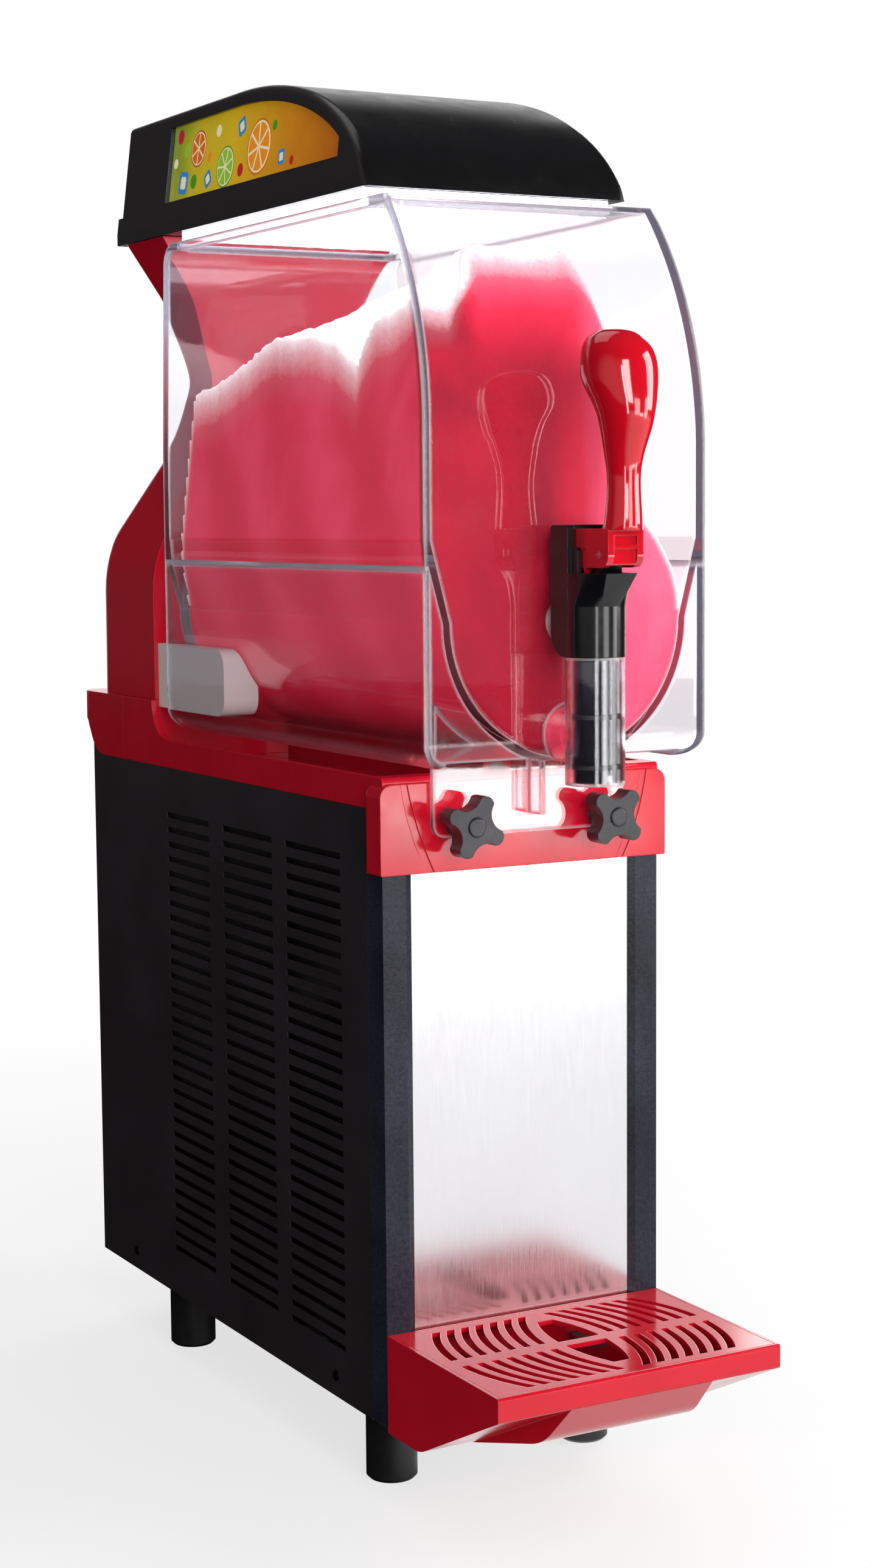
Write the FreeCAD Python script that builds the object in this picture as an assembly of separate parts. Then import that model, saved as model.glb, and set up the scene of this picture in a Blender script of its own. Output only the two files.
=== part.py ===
import FreeCAD, Part
import math
import os

# Slush machine with one clear bowl, a front tap and a lit lid on a rear tower.
# Working frame in millimetres: X to the right, Y away from the front, Z up.
# Y is 0 on the front of the cabinet while drawing, and every piece is shifted at the end so that
# the origin is the bottom centre of the whole machine.

V = FreeCAD.Vector

# Clearances
seat = 0.3            # between pieces that rest against each other
fit = 0.05            # radial running fit of pins and shafts
swing = 0.6           # around pieces that turn or slide past each other

# Cabinet
case_width = 200.0
case_depth = 471.6
foot_height = 50.0
foot_radius = 16.6
foot_inset = 27.5     # from the cabinet side to a foot's centre
foot_front = 47.4     # from the cabinet front to the front feet
foot_rear = 106.6     # from the cabinet back to the rear feet
case_height = 387.0
sheet = 1.2
frame_sheet = 1.5
frame_lip = 25.0
post_width = 21.0
post_depth = 20.0
post_bevel_width = 4.7
post_wall = 1.5
panel_setback = 2.5
deck_sheet = 2.0

# Louvres in the side panels
louvre_columns = ((57.0, 137.0), (157.0, 236.0), (259.0, 332.0))
louvre_pitch = 10.6
louvre_slot = 4.2
louvre_margin_top = 32.0
louvre_margin_bottom = 30.0
panel_screw_radius = 3.6
panel_screw_head = 1.4

# Red base cover with its front apron and rear overhang
cover_wall = 3.5
band_height = 20.0
recess_rim = 4.0
apron_front = 4.6     # in front of the cabinet front
apron_overhang = 3.4  # past each cabinet side
apron_drop = 39.6     # below the top of the cabinet
apron_rise = 16.0     # above the top of the cabinet
apron_return = 14.0   # reach of the apron's sides past the cabinet front
apron_corner = 8.0
groove_depth = 0.8
chin_reach = 33.4     # overhang behind the cabinet
chin_height = 21.0
chin_corner = 25.0
seam_place = 60.0     # seam in the cover's sides, in front of the cabinet back
tower_base_height = 47.0
tower_pocket = 114.6  # from the cabinet back to the front edge of the tower's sides

# Rear tower
tower_height = 329.0
tower_corner = 14.0
tower_back_lean = 11.0
neck_half_width = 54.5
tower_waist_depth = 48.0
tower_rim = 2.5       # round front of the tower, proud of the trough
switch_pad_half_width = 32.0
switch_pad_height = 40.0
switch_pad_rise = 2.0
switch_height = 41.0  # centre of the switches above the tower's foot

# Bowl
bowl_width = 197.6
bowl_front = 55.5     # in front of the cabinet front
bowl_gap = 27.0       # from the bowl's back to the front of the tower's sides
bowl_lift = 28.0      # underside of the bowl above the cabinet
bowl_height = 341.0
bowl_wall = 5.0
bowl_bottom_corner = 15.0
bowl_curve_height = 146.0
bowl_curve_radius = 223.0
bowl_taper = 3.4      # each side leans in over the curved height
bowl_lip = 7.0        # inward lip round the top opening
trough_radius = 81.0
trough_wall = 4.5
shoulder_rise = 49.0
skirt_wall = 4.0
skirt_lip = 12.0
front_plate_half_width = 69.0
front_plate_wall = 4.0
front_plate_drop = 46.0
front_gusset_reach = 15.0

# Cooling cylinder, auger and drive
drum_radius = 56.0
drum_wall = 1.5
drum_front = 10.0     # in front of the cabinet front
drum_flange_radius = 76.0
drum_flange = 20.0
drum_spigot_radius = 50.0
coil_wall = 4.0
gasket_width = 12.0
auger_radius = 77.5
auger_inner_radius = 60.0
auger_blade = 6.0
auger_turns = 2.75
auger_back = 41.5     # from the blade's end to the cylinder's flange
auger_front = 26.0    # front face of the blade's arms before the cabinet front
auger_arm = 9.0
auger_hub_radius = 15.0
shaft_radius = 6.0
shaft_seal = 6.0
bush_radius = 12.0
bush_length = 16.0
nut_radius = 14.0
nut_length = 14.0
bulkhead_sheet = 3.0
bulkhead_half_width = 78.0
bulkhead_height = 200.0
bulkhead_foot = 30.0
gearbox_radius = 42.0
gearbox_length = 38.0
motor_radius = 36.0
motor_length = 42.0
shaft_socket = 22.0

# Side guide blocks beside the trough
guide_front = 94.0    # in front of the bowl's back
guide_height = 46.0
guide_bottom = 14.0   # above the underside of the bowl
guide_corner = 12.0

# Tap
tap_setback = 84.0    # tap axis in front of the cabinet front
tap_outer_radius = 18.0
tap_bore = 14.5
tap_length = 76.0
tap_below_bowl = 10.0
tap_spigot = 28.0
tap_spigot_radius = 16.4
outlet_bore = 14.0
outlet_wall = 4.0
outlet_height = 19.0  # axis of the outlet above the underside of the bowl
outlet_reach = 5.0    # rear end of the outlet before the cabinet front
piston_radius = 13.4
piston_cup_bore = 9.6
piston_cup_floor = 25.0
piston_seal_width = 3.0
piston_seal_low = 8.0
piston_seal_high = 38.0
stem_radius = 4.5
spring_wire = 1.4
spring_radius = 7.6
bracket_wall = 2.6
bracket_height = 35.0
bracket_rim = 50.0    # rim of the bracket's cup above its foot
bracket_cheek_height = 78.2
bracket_cheek_back = 20.0
bracket_cheek_depth = 18.5
bracket_ear_height = 65.0
bracket_nose = 29.7   # front lip of the cup before the tap axis
bracket_lip_half = 10.7
bracket_cap = 4.0
bracket_arm_half = 7.6
bracket_arm = 6.0
pivot_reach = 23.5    # lever pivot before the tap axis
pivot_height = 61.0   # lever pivot above the bracket's foot
pivot_radius = 2.5
lever_angle = 60.0
lever_half_width = 12.3
lever_wall = 3.6
lever_nose_radius = 10.3
lever_drop = 7.9      # underside of the lever's front below the pivot
lever_tail = 31.5     # from the pivot to the lever's tail
lever_top = 15.0      # lever block's top above the pivot
stem_pin_radius = 2.5
handle_height = 115.0
handle_head_radius = 23.0
handle_neck_radius = 10.3
handle_setback = 8.2  # handle axis before the pivot
handle_lean = 4.2     # head behind the neck

# Star knobs
knob_spacing = 51.0   # from the middle
knob_drop = 10.0      # centre below the top of the cabinet
knob_tip_radius = 20.2
knob_tip_half_width = 5.0
knob_valley_radius = 11.5
knob_thickness = 13.0
knob_hub_radius = 9.0
knob_hub_length = 9.0
knob_cap_radius = 6.0
knob_stud_radius = 3.0
knob_stud_length = 24.0
knob_boss_radius = 7.0
knob_turns = {"left": 64.0, "right": 48.0}

# Lid
lid_half_width = 94.3
lid_front = 22.0
lid_setback = 53.6    # from the cabinet back to the lid's back
lid_height = 84.7
lid_curve_depth = 203.0
lid_curve_height = 100.0
lid_step = 19.5
lid_step_inset = 8.0
lid_round = 5.5
lid_slope = 0.125     # each side leans in by this share of its height
lid_wall = 3.0
sign_margin = 10.5
sign_back = 85.0      # from the sign to the back of the lid
sign_bottom = 22.0
sign_panel_wall = 2.2
lid_plate = 3.0
diffuser_wall = 5.0
diffuser_half_width = 88.0
lamp_width = 14.0

# Drip tray
tray_depth = 135.9
tray_height = 62.0
tray_top = 59.8       # above the underside of the cabinet
tray_face = 14.5
tray_wall = 4.0
keel_half_width = 50.0
keel_flare = 18.0
grille_sheet = 3.0
grille_margin = 8.0
grille_ledge = 3.0
slot_count = 7
slot_pitch = 10.3
slot_width = 5.0
slot_curve = 112.0
slot_bar = 12.0       # solid bar across the middle
slot_edge = 6.8       # from the rear edge of the grille to the slots
tongue_spacing = 40.0
tongue_width = 19.0
tongue_sheet = 4.0
tongue_reach = 28.0
tongue_drop = 22.0    # below the top of the tray
tongue_plate = 2.0    # sheet that carries the tongues
tongue_plate_rise = 12.0

# Cooling unit inside the cabinet
compressor_radius = 66.0
compressor_height = 150.0
condenser_depth = 44.0
condenser_side = 16.0 # from the cabinet side to the condenser
condenser_height = 230.0
condenser_fins = 14
condenser_place = 150.0
fan_radius = 76.0
fan_blades = 5
fan_hub_radius = 20.0
fan_motor_radius = 26.0
fan_motor_length = 40.0
shroud_sheet = 1.5
shroud_ring = 22.0
dryer_radius = 10.0
dryer_length = 110.0
gland_radius = 9.0
gland_thread_radius = 6.3
gland_side = 40.0     # from the cabinet side to the gland's axis
gland_rise = 45.0     # above the bottom of the cabinet
fan_shaft_radius = 3.0
fan_shaft_socket = 14.0
fan_blade_width = 44.0
fan_blade_sheet = 2.0
fan_blade_pitch = 22  # degrees

# Rocker switches
rocker_width = 18.0
rocker_height = 26.0
rocker_depth = 9.0
rocker_angle = 14.0
rocker_spacing = 28.0
rocker_pin_radius = 1.5
rocker_pin_reach = 1.3
rocker_sink = 3.0     # pivot behind the face of the switch pad
bezel_wall = 3.0

# Places worked out from the sizes above
half_case = case_width / 2
gland_place = half_case - gland_side
case_bottom = foot_height
case_top = foot_height + case_height
bowl_bottom = case_top + bowl_lift
bowl_top = bowl_bottom + bowl_height
half_bowl = bowl_width / 2
trough_outer = trough_radius + trough_wall
axis_z = bowl_bottom + 1.0 + trough_outer
axis_point = V(0, 0, axis_z)
tower_foot = case_top + tower_base_height
tower_top = tower_foot + tower_height
tower_side_front = case_depth - tower_pocket
bowl_back = tower_side_front - bowl_gap
tower_front = bowl_back + 6.0
tower_back = case_depth - tower_back_lean
cover_back = case_depth + chin_reach
lid_bottom = tower_top + seat
lid_back = case_depth - lid_setback
condenser_half_width = half_case - condenser_side
bulkhead_front = tower_side_front + cover_wall + 1.0
bulkhead_back = bulkhead_front + bulkhead_sheet
flange_front = tower_front - seat - drum_flange
auger_pitch = (flange_front - auger_back - auger_blade + auger_front) / auger_turns
tap_y = -tap_setback
tap_foot = bowl_bottom - tap_below_bowl
bracket_foot = tap_foot + tap_length
outlet_z = bowl_bottom + outlet_height
pivot_y = tap_y - pivot_reach
pivot_z = bracket_foot + pivot_height
stem_pin_drop = pivot_reach * math.tan(math.radians(lever_angle / 2))
stem_pin_z = pivot_z - stem_pin_drop
handle_y = pivot_y - handle_setback
lever_top_z = pivot_z + lever_top
bracket_rim_z = bracket_foot + bracket_rim
tray_top_z = case_bottom + tray_top
tray_bottom_z = tray_top_z - tray_height
knob_z = case_top - knob_drop
front_plate_back = -apron_front - seat
front_plate_front = front_plate_back - front_plate_wall
switch_z = tower_foot + switch_height
rocker_pivot_y = tower_back + switch_pad_rise - rocker_sink
tray_front = -(tray_depth + seat)
machine_front = min(tray_front, handle_y + handle_lean - handle_head_radius)
origin_y = (machine_front + cover_back) / 2

parts = {}


# Drawing helpers

def box(x, y, z):
    """Block spanning a (low, high) pair along each axis."""
    return Part.makeBox(x[1] - x[0], y[1] - y[0], z[1] - z[0], V(x[0], y[0], z[0]))


def wide(half, y, z):
    """Block centred on the middle plane."""
    return box((-half, half), y, z)


def bar(radius, start, end):
    """Round bar between two points."""
    return Part.makeCylinder(radius, (end - start).Length, start, end - start)


def tube(outer, inner, start, end):
    """Round bar with a bore right through."""
    return bar(outer, start, end).cut(bar(inner, start, end))


def along_y(radius, y, x=0.0, z=None):
    """Round bar along Y, on the auger's axis unless told otherwise."""
    height = axis_z if z is None else z
    return bar(radius, V(x, y[0], height), V(x, y[1], height))


def along_x(radius, x, y, z):
    """Round bar along X."""
    return bar(radius, V(x[0], y, z), V(x[1], y, z))


def along_z(radius, z, x=0.0, y=0.0):
    """Round bar along Z."""
    return bar(radius, V(x, y, z[0]), V(x, y, z[1]))


def outline(corners, place):
    """Closed wire through (u, v, radius) corners, where place turns (u, v) into a point."""
    points = [place(u, v) for u, v, _ in corners]
    tangents = []
    edges = []
    for i, point in enumerate(points):
        back = (points[i - 1] - point).normalize()
        ahead = (points[(i + 1) % len(points)] - point).normalize()
        radius = corners[i][2]
        if radius == 0:
            tangents.append((point, point))
            continue
        half = back.getAngle(ahead) / 2
        reach = radius / math.tan(half)
        middle = point + (back + ahead).normalize() * (radius / math.sin(half) - radius)
        tangents.append((point + back * reach, point + ahead * reach))
        edges.append(Part.Arc(tangents[i][0], middle, tangents[i][1]).toShape())
    for i, (_, leave) in enumerate(tangents):
        arrive = tangents[(i + 1) % len(tangents)][0]
        if (arrive - leave).Length > 1e-6:
            edges.append(Part.LineSegment(leave, arrive).toShape())
    return Part.Wire(Part.__sortEdges__(edges))


def side_prism(corners, x):
    """Side outline of (Y, Z, radius) corners, run between two X."""
    wire = outline(corners, lambda u, v: V(x[0], u, v))
    return Part.Face(wire).extrude(V(x[1] - x[0], 0, 0))


def front_prism(corners, y):
    """Front outline of (X, Z, radius) corners, run between two Y."""
    wire = outline(corners, lambda u, v: V(u, y[0], v))
    return Part.Face(wire).extrude(V(0, y[1] - y[0], 0))


def plan_prism(corners, z):
    """Plan outline of (X, Y, radius) corners, run between two Z."""
    wire = outline(corners, lambda u, v: V(u, v, z[0]))
    return Part.Face(wire).extrude(V(0, 0, z[1] - z[0]))


def block(half, y, z, corner):
    """Middle block whose upright edges are rounded."""
    corners = [(-half, y[0], corner), (half, y[0], corner), (half, y[1], corner), (-half, y[1], corner)]
    return plan_prism(corners, z)


def turned(profile, axis_start, axis_end):
    """Solid of revolution from (distance along, radius) pairs on an axis."""
    along = (axis_end - axis_start).normalize()
    across = V(1, 0, 0) if abs(along.x) < 0.5 else V(0, 1, 0)
    points = [axis_start + along * t + across * r for t, r in profile]
    face = Part.Face(Part.makePolygon(points + [points[0]]))
    return face.revolve(axis_start, along, 360)


def fused(shapes):
    """One solid from pieces that touch or overlap."""
    whole = shapes[0].multiFuse(shapes[1:])
    return whole.removeSplitter()


def mirrored(shape):
    """Copy on the other side of the middle plane."""
    return shape.mirror(V(0, 0, 0), V(1, 0, 0))


def pair(shape):
    """A piece and its mirror image, as two solids."""
    return Part.makeCompound([shape, mirrored(shape)])


def quarter_ellipse(low, high, x):
    """Edge from low, where it is upright, to high, where it is level, in the plane at x."""
    centre = V(x, high[0], low[1])
    across = V(x, low[0], low[1])
    up = V(x, high[0], high[1])
    depth = high[0] - low[0]
    height = high[1] - low[1]
    if depth >= height:
        curve = Part.Ellipse(across, up, centre)
    else:
        curve = Part.Ellipse(up, across, centre)
    start = curve.parameter(across)
    end = curve.parameter(up)
    if (end - start) % (2 * math.pi) > math.pi:
        start, end = end, start
    if end < start:
        end += 2 * math.pi
    return Part.ArcOfEllipse(curve, start, end).toShape()


# Cabinet

def make_feet():
    chamfer = 2.0
    profile = [(0, 0), (0, foot_radius - chamfer), (chamfer, foot_radius),
               (foot_height, foot_radius), (foot_height, 0)]
    x = half_case - foot_inset
    feet = []
    for place_x in (-x, x):
        for place_y in (foot_front, case_depth - foot_rear):
            feet.append(turned(profile, V(place_x, place_y, 0), V(place_x, place_y, 1)))
    return Part.makeCompound(feet)


def make_base_frame():
    inner = half_case - sheet - seat / 2
    front = panel_setback + sheet + seat / 2
    back = case_depth - sheet - seat / 2
    low = case_bottom
    top = low + frame_lip
    floor = wide(inner, (frame_sheet, back), (low, low + frame_sheet))
    side = box((inner - frame_sheet, inner), (post_depth + seat, back), (low, top))
    rear = wide(inner, (back - frame_sheet, back), (low, top))
    lip = wide(half_case - post_width - seat, (front, front + frame_sheet), (low, top))
    return fused([floor, side, mirrored(side), rear, lip])


def post_outline(wall):
    inner = half_case - post_width + wall
    return [(inner, panel_setback + wall, 0), (inner + post_bevel_width - wall / 2, wall, 0),
            (half_case - wall, wall, 0), (half_case - wall, post_depth - wall, 0), (inner, post_depth - wall, 0)]


def make_front_post():
    z = (case_bottom + frame_sheet, case_top - seat)
    return plan_prism(post_outline(0.0), z).cut(plan_prism(post_outline(post_wall), z))


def cover_side_corners(lower):
    """Side outline of the base cover's band, pocket and rear overhang."""
    base = case_top + seat / 2 - lower
    band_top = case_top + band_height
    chin_z = tower_foot - chin_height - lower
    return [(-1.0, base, 0), (case_depth - 4.6, base, 26.0), (case_depth + 12.4, chin_z, 6.0),
            (cover_back, chin_z, 4.0), (cover_back, tower_foot, 5.0), (tower_side_front, tower_foot, 0),
            (tower_side_front, band_top, 26.0), (-1.0, band_top, 3.0)]


def make_side_panel():
    x = (half_case - sheet, half_case)
    front = post_depth + seat
    panel = box(x, (front, case_depth), (case_bottom, case_top + 12.0))
    panel = panel.cut(side_prism(cover_side_corners(seat / 2), (x[0] - 1.0, x[1] + 1.0)))
    rows = int((case_height - louvre_margin_top - louvre_margin_bottom) / louvre_pitch) + 1
    slots = []
    for row in range(rows):
        low = case_top - louvre_margin_top - louvre_slot - row * louvre_pitch
        for y in louvre_columns:
            slots.append(box((x[0] - 1.0, x[1] + 1.0), y, (low, low + louvre_slot)))
    return panel.cut(Part.makeCompound(slots))


def make_panel_screws():
    profile = [(0, 0), (0, panel_screw_radius), (panel_screw_head * 0.5, panel_screw_radius),
               (panel_screw_head, panel_screw_radius * 0.6), (panel_screw_head, 0)]
    screws = []
    for y in (71.0, case_depth - 66.0):
        start = V(half_case, y, case_bottom + 14.0)
        screw = turned(profile, start, start + V(1, 0, 0))
        screws += [screw, mirrored(screw)]
    return Part.makeCompound(screws)


def make_rear_panel():
    half = half_case - sheet - seat / 2
    y = (case_depth - sheet, case_depth)
    panel = wide(half, y, (case_bottom, case_top + 6.0))
    slots = []
    for row in range(12):
        low = case_bottom + 150.0 + row * 2 * louvre_pitch
        for x in ((-70.0, -6.0), (6.0, 70.0)):
            slots.append(box(x, (y[0] - 1.0, y[1] + 1.0), (low, low + 2 * louvre_slot)))
    hole = along_y(gland_thread_radius + fit, (y[0] - 1.0, y[1] + 1.0), gland_place, case_bottom + gland_rise)
    return panel.cut(Part.makeCompound(slots + [hole]))


def make_cord_gland():
    z = case_bottom + gland_rise
    back = case_depth
    body = along_y(gland_thread_radius, (back - 12.0, back + 1.0), gland_place, z)
    hexagon = [(gland_place + gland_radius * 1.3 * math.cos(math.radians(60 * i)),
                z + gland_radius * 1.3 * math.sin(math.radians(60 * i)), 0) for i in range(6)]
    nut = front_prism(hexagon, (back + seat, back + 6.0))
    dome = turned([(0, 0), (0, gland_radius), (7.0, gland_radius), (11.0, gland_thread_radius), (11.0, 0)],
                  V(gland_place, back + 5.0, z), V(gland_place, back + 6.0, z))
    bore = along_y(gland_radius * 0.4, (back - 13.0, back + 20.0), gland_place, z)
    return fused([body, nut, dome]).cut(bore)


def make_front_panel():
    half = half_case - post_width - seat / 2
    y = (panel_setback, panel_setback + sheet)
    panel = wide(half, y, (case_bottom + frame_sheet, case_top - deck_sheet - seat))
    cut = swing / 2
    z = tray_top_z - tongue_drop
    slot = box((tongue_spacing - tongue_width / 2 - cut, tongue_spacing + tongue_width / 2 + cut),
               (y[0] - 1.0, y[1] + 1.0), (z - cut, z + tongue_sheet + cut))
    return panel.cut(slot).cut(mirrored(slot))


def make_tray_bracket():
    y = panel_setback + sheet + seat / 2
    z = tray_top_z - tongue_drop
    plate = wide(tongue_spacing + tongue_width, (y, y + tongue_plate),
                 (case_bottom + frame_sheet, z + tongue_plate_rise))
    gap = wide(half_case, (y - 1.0, y + frame_sheet + seat), (case_bottom, case_bottom + frame_lip + seat))
    plate = plate.cut(gap)
    tongue = box((tongue_spacing - tongue_width / 2, tongue_spacing + tongue_width / 2),
                 (-tongue_reach, y + 1.0), (z, z + tongue_sheet))
    return fused([plate, tongue, mirrored(tongue)])


def make_deck_plate():
    z = (case_top - deck_sheet, case_top)
    inner = half_case - sheet - seat / 2
    plate = wide(inner, (post_depth + seat, case_depth - 34.0), z)
    front = wide(half_case - post_width - seat, (panel_setback, post_depth + 1.0), z)
    hole = along_z(14.0, (z[0] - 1.0, z[1] + 1.0), 50.0, bulkhead_back + 45.0)
    return fused([plate, front]).cut(hole)


# Red base cover and tower

def apron_groove():
    """Shallow curved band near an end of the apron, from its top corner down and inward."""
    low = case_top - apron_drop - 1.0
    high = case_top + apron_rise + 1.0
    end = half_case + apron_overhang
    y = -apron_front - 1.0
    curves = []
    for top_x, middle_x, low_x in ((end - 14.0, end - 20.5, end - 33.0), (end - 18.5, end - 26.0, end - 38.0)):
        points = (V(top_x, y, high), V(middle_x, y, (low + high) / 2), V(low_x, y, low))
        curves.append((points, Part.Arc(*points).toShape()))
    (outer_points, outer), (inner_points, inner) = curves
    ends = [Part.LineSegment(outer_points[i], inner_points[i]).toShape() for i in (0, 2)]
    face = Part.Face(Part.Wire(Part.__sortEdges__([outer, inner] + ends)))
    return face.extrude(V(0, 1.0 + groove_depth, 0))


def make_base_cover():
    plan = [(-half_case, -1.0, 0), (half_case, -1.0, 0),
            (half_case, cover_back, chin_corner), (-half_case, cover_back, chin_corner)]
    band = side_prism(cover_side_corners(0.0), (-half_case, half_case))
    band = band.common(plan_prism(plan, (case_bottom, tower_foot + 1.0)))
    half_apron = half_case + apron_overhang
    groove = apron_groove()
    seam_y = case_depth - seam_place
    seam = box((half_case - 0.8, half_case + 1.0), (seam_y, seam_y + 0.7), (case_top - 1.0, tower_foot + 1.0))
    low = case_top - apron_drop
    top = case_top + apron_rise
    base = case_top + seat / 2
    apron = front_prism([(-half_apron, low, 1.0), (half_apron, low, 1.0), (half_apron, top, apron_corner),
                         (-half_apron, top, apron_corner)], (-apron_front, apron_return))
    behind = wide(half_case + seat, (-1.0, apron_return + 1.0), (low - 1.0, base))
    under = wide(half_case - cover_wall, (-1.0, apron_return - cover_wall), (base - 1.0, top - cover_wall))
    recess = wide(half_case - recess_rim, (apron_return, tower_side_front), (base + cover_wall, tower_foot + 1))
    rear_room = wide(half_case - cover_wall, (tower_side_front + cover_wall, case_depth - 8.0),
                     (base - 1.0, tower_foot - cover_wall))
    chin_room = block(half_case - cover_wall, (case_depth - 30.0, cover_back - cover_wall),
                      (tower_foot - chin_height + cover_wall, tower_foot - cover_wall), chin_corner - cover_wall)
    opening = block(half_case - 16.0, (bulkhead_front - swing, tower_back - 8.0),
                    (tower_foot - cover_wall - 1.0, tower_foot + 1.0), 6.0)
    boss = bar(knob_boss_radius, V(knob_spacing, -apron_front + 1.0, knob_z),
               V(knob_spacing, panel_setback - seat, knob_z))
    bore = bar(knob_stud_radius + fit, V(knob_spacing, -apron_front - 1, knob_z), V(knob_spacing, 40.0, knob_z))
    cover = fused([band, apron])
    for piece in (behind, under, recess, rear_room, chin_room, opening, groove, mirrored(groove),
                  seam, mirrored(seam)):
        cover = cover.cut(piece)
    cover = fused([cover, boss, mirrored(boss)]).cut(bore).cut(mirrored(bore))
    rib_top = bowl_bottom + 1.0 - seat
    rib = box((6.0, 10.0), (apron_return + 20.0, tower_side_front - 40.0), (base + 1.0, rib_top))
    return fused([cover, rib, mirrored(rib)])


def tower_body(inset):
    """Hourglass body from its foot to the lid, drawn in by inset: a front outline crossed with a side one."""
    full = half_case - 3.0 - inset
    neck = neck_half_width - 0.8 - inset
    rim = lid_half_width - 0.8 - inset
    foot = tower_foot + seat / 2

    def level(share):
        return tower_foot + share * tower_height

    # share of the height, half width, rounding
    edge = ((0.29, full, 100.0), (0.55, (full + neck) / 2 - 13.2, 100.0), (0.69, neck, 40.0),
            (0.87, neck + 14.5, 60.0))
    right = [(full, foot, 0)] + [(half, level(share), radius) for share, half, radius in edge]
    right.append((rim, tower_top, 0))
    left = [(-half, z, radius) for half, z, radius in reversed(right)]
    front_view = front_prism(right + left, (tower_front - 10.0, cover_back))
    front = tower_front + inset
    side = tower_side_front + inset
    back = tower_back + 0.5 - inset
    waist = tower_front + tower_waist_depth - inset
    # share of the height, place along the depth, rounding
    rear = ((0.355, back - 1.0, 30.0), (0.605, (back + waist) / 2 - 26.0, 60.0), (0.725, waist, 40.0),
            (0.885, waist + 20.0, 40.0))
    corners = [(back, foot, 0)] + [(y, level(share), radius) for share, y, radius in rear]
    corners += [(waist + 28.0, tower_top, 0), (front, tower_top, 0), (front, level(0.6), 40.0),
                (side, level(0.33), 40.0), (side, foot, 0)]
    return front_view.common(side_prism(corners, (-half_case, half_case)))


def make_tower_cover():
    rim = trough_outer + tower_rim
    outer = tower_body(0.0)
    corners = [edge for edge in outer.Edges if edge.BoundBox.XMin * edge.BoundBox.XMax > 0
               and edge.BoundBox.ZLength > 1.0 and edge.BoundBox.YMin > tower_side_front + 5.0]
    outer = outer.makeFillet(tower_corner, corners)
    disc = along_y(rim, (tower_front, tower_side_front + 6.0))
    pad = wide(switch_pad_half_width, (tower_back - 6.0, tower_back + switch_pad_rise),
               (switch_z - switch_pad_height / 2, switch_z + switch_pad_height / 2))
    inner = tower_body(cover_wall)
    inner = inner.common(wide(case_width, (0, cover_back * 2), (0, tower_top - cover_wall)))
    inner_disc = along_y(rim - cover_wall, (tower_front + cover_wall, tower_side_front + cover_wall + 6.0))
    below = wide(case_width, (tower_side_front - seat, cover_back * 2), (0, tower_foot + seat / 2))
    hole = along_y(drum_spigot_radius + seat, (tower_front - 1.0, tower_front + cover_wall + 1.0))
    cut_out = wide(rocker_spacing / 2 + rocker_width / 2 + 2.0, (tower_back - 20.0, tower_back + 10.0),
                   (switch_z - rocker_height / 2 - 1.5, switch_z + rocker_height / 2 + 1.5))
    tower = fused([outer, disc, pad])
    for piece in (inner, inner_disc, below, hole, cut_out):
        tower = tower.cut(piece)
    return tower


def make_bulkhead():
    top = case_top + bulkhead_height
    plate = front_prism([(-bulkhead_half_width, case_top, 0), (bulkhead_half_width, case_top, 0),
                         (bulkhead_half_width, axis_z + 20.0, 20.0), (bulkhead_half_width - 35.0, top, 10.0),
                         (-bulkhead_half_width + 35.0, top, 10.0), (-bulkhead_half_width, axis_z + 20.0, 20.0)],
                        (bulkhead_front, bulkhead_back))
    foot = wide(bulkhead_half_width, (bulkhead_front, bulkhead_back + bulkhead_foot),
                (case_top, case_top + bulkhead_sheet))
    hole = along_y(shaft_radius + 4.0, (bulkhead_front - 1.0, bulkhead_back + 1.0))
    wires = along_z(14.0, (case_top - 1.0, case_top + 10.0), 50.0, bulkhead_back + 45.0)
    return fused([plate, foot]).cut(hole).cut(wires)


# Cooling cylinder, drive and auger

def make_drum():
    back = bulkhead_front
    flange_back = tower_front - seat
    shell = turned([(-drum_front, 0), (-drum_front, drum_radius - 8.0), (-drum_front + 8.0, drum_radius),
                    (flange_front, drum_radius), (flange_front, drum_flange_radius),
                    (flange_back, drum_flange_radius), (flange_back, drum_spigot_radius),
                    (back, drum_spigot_radius), (back, 0)], axis_point, axis_point + V(0, 1, 0))
    inside = turned([(-drum_front + 3.0, 0), (-drum_front + 3.0, drum_radius - 10.0),
                     (-drum_front + 11.0, drum_radius - drum_wall), (flange_back - 6.0, drum_radius - drum_wall),
                     (flange_back, drum_spigot_radius - 3.0), (back + 1.0, drum_spigot_radius - 3.0),
                     (back + 1.0, 0)], axis_point, axis_point + V(0, 1, 0))
    housing = along_y(bush_radius + 3.0, (-drum_front, -drum_front + bush_length))
    bore = along_y(bush_radius + fit, (-drum_front - 1.0, -drum_front + bush_length + 1.0))
    return fused([shell.cut(inside), housing]).cut(bore)


def make_front_bush():
    start = -drum_front
    return tube(bush_radius, shaft_radius + fit, axis_point + V(0, start, 0),
                axis_point + V(0, start + bush_length, 0))


def make_shaft_seal():
    start = -drum_front - seat / 2
    return tube(bush_radius, shaft_radius + fit, axis_point + V(0, start - shaft_seal, 0),
                axis_point + V(0, start, 0))


def make_cooling_coil():
    outer = drum_radius - drum_wall - seat / 2
    return tube(outer, outer - coil_wall, axis_point + V(0, 12.0, 0),
                axis_point + V(0, tower_front - drum_flange, 0))


def make_gasket():
    return tube(trough_radius - seat, drum_flange_radius + fit, axis_point + V(0, flange_front + 1.0, 0),
                axis_point + V(0, flange_front + 1.0 + gasket_width, 0))


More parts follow.
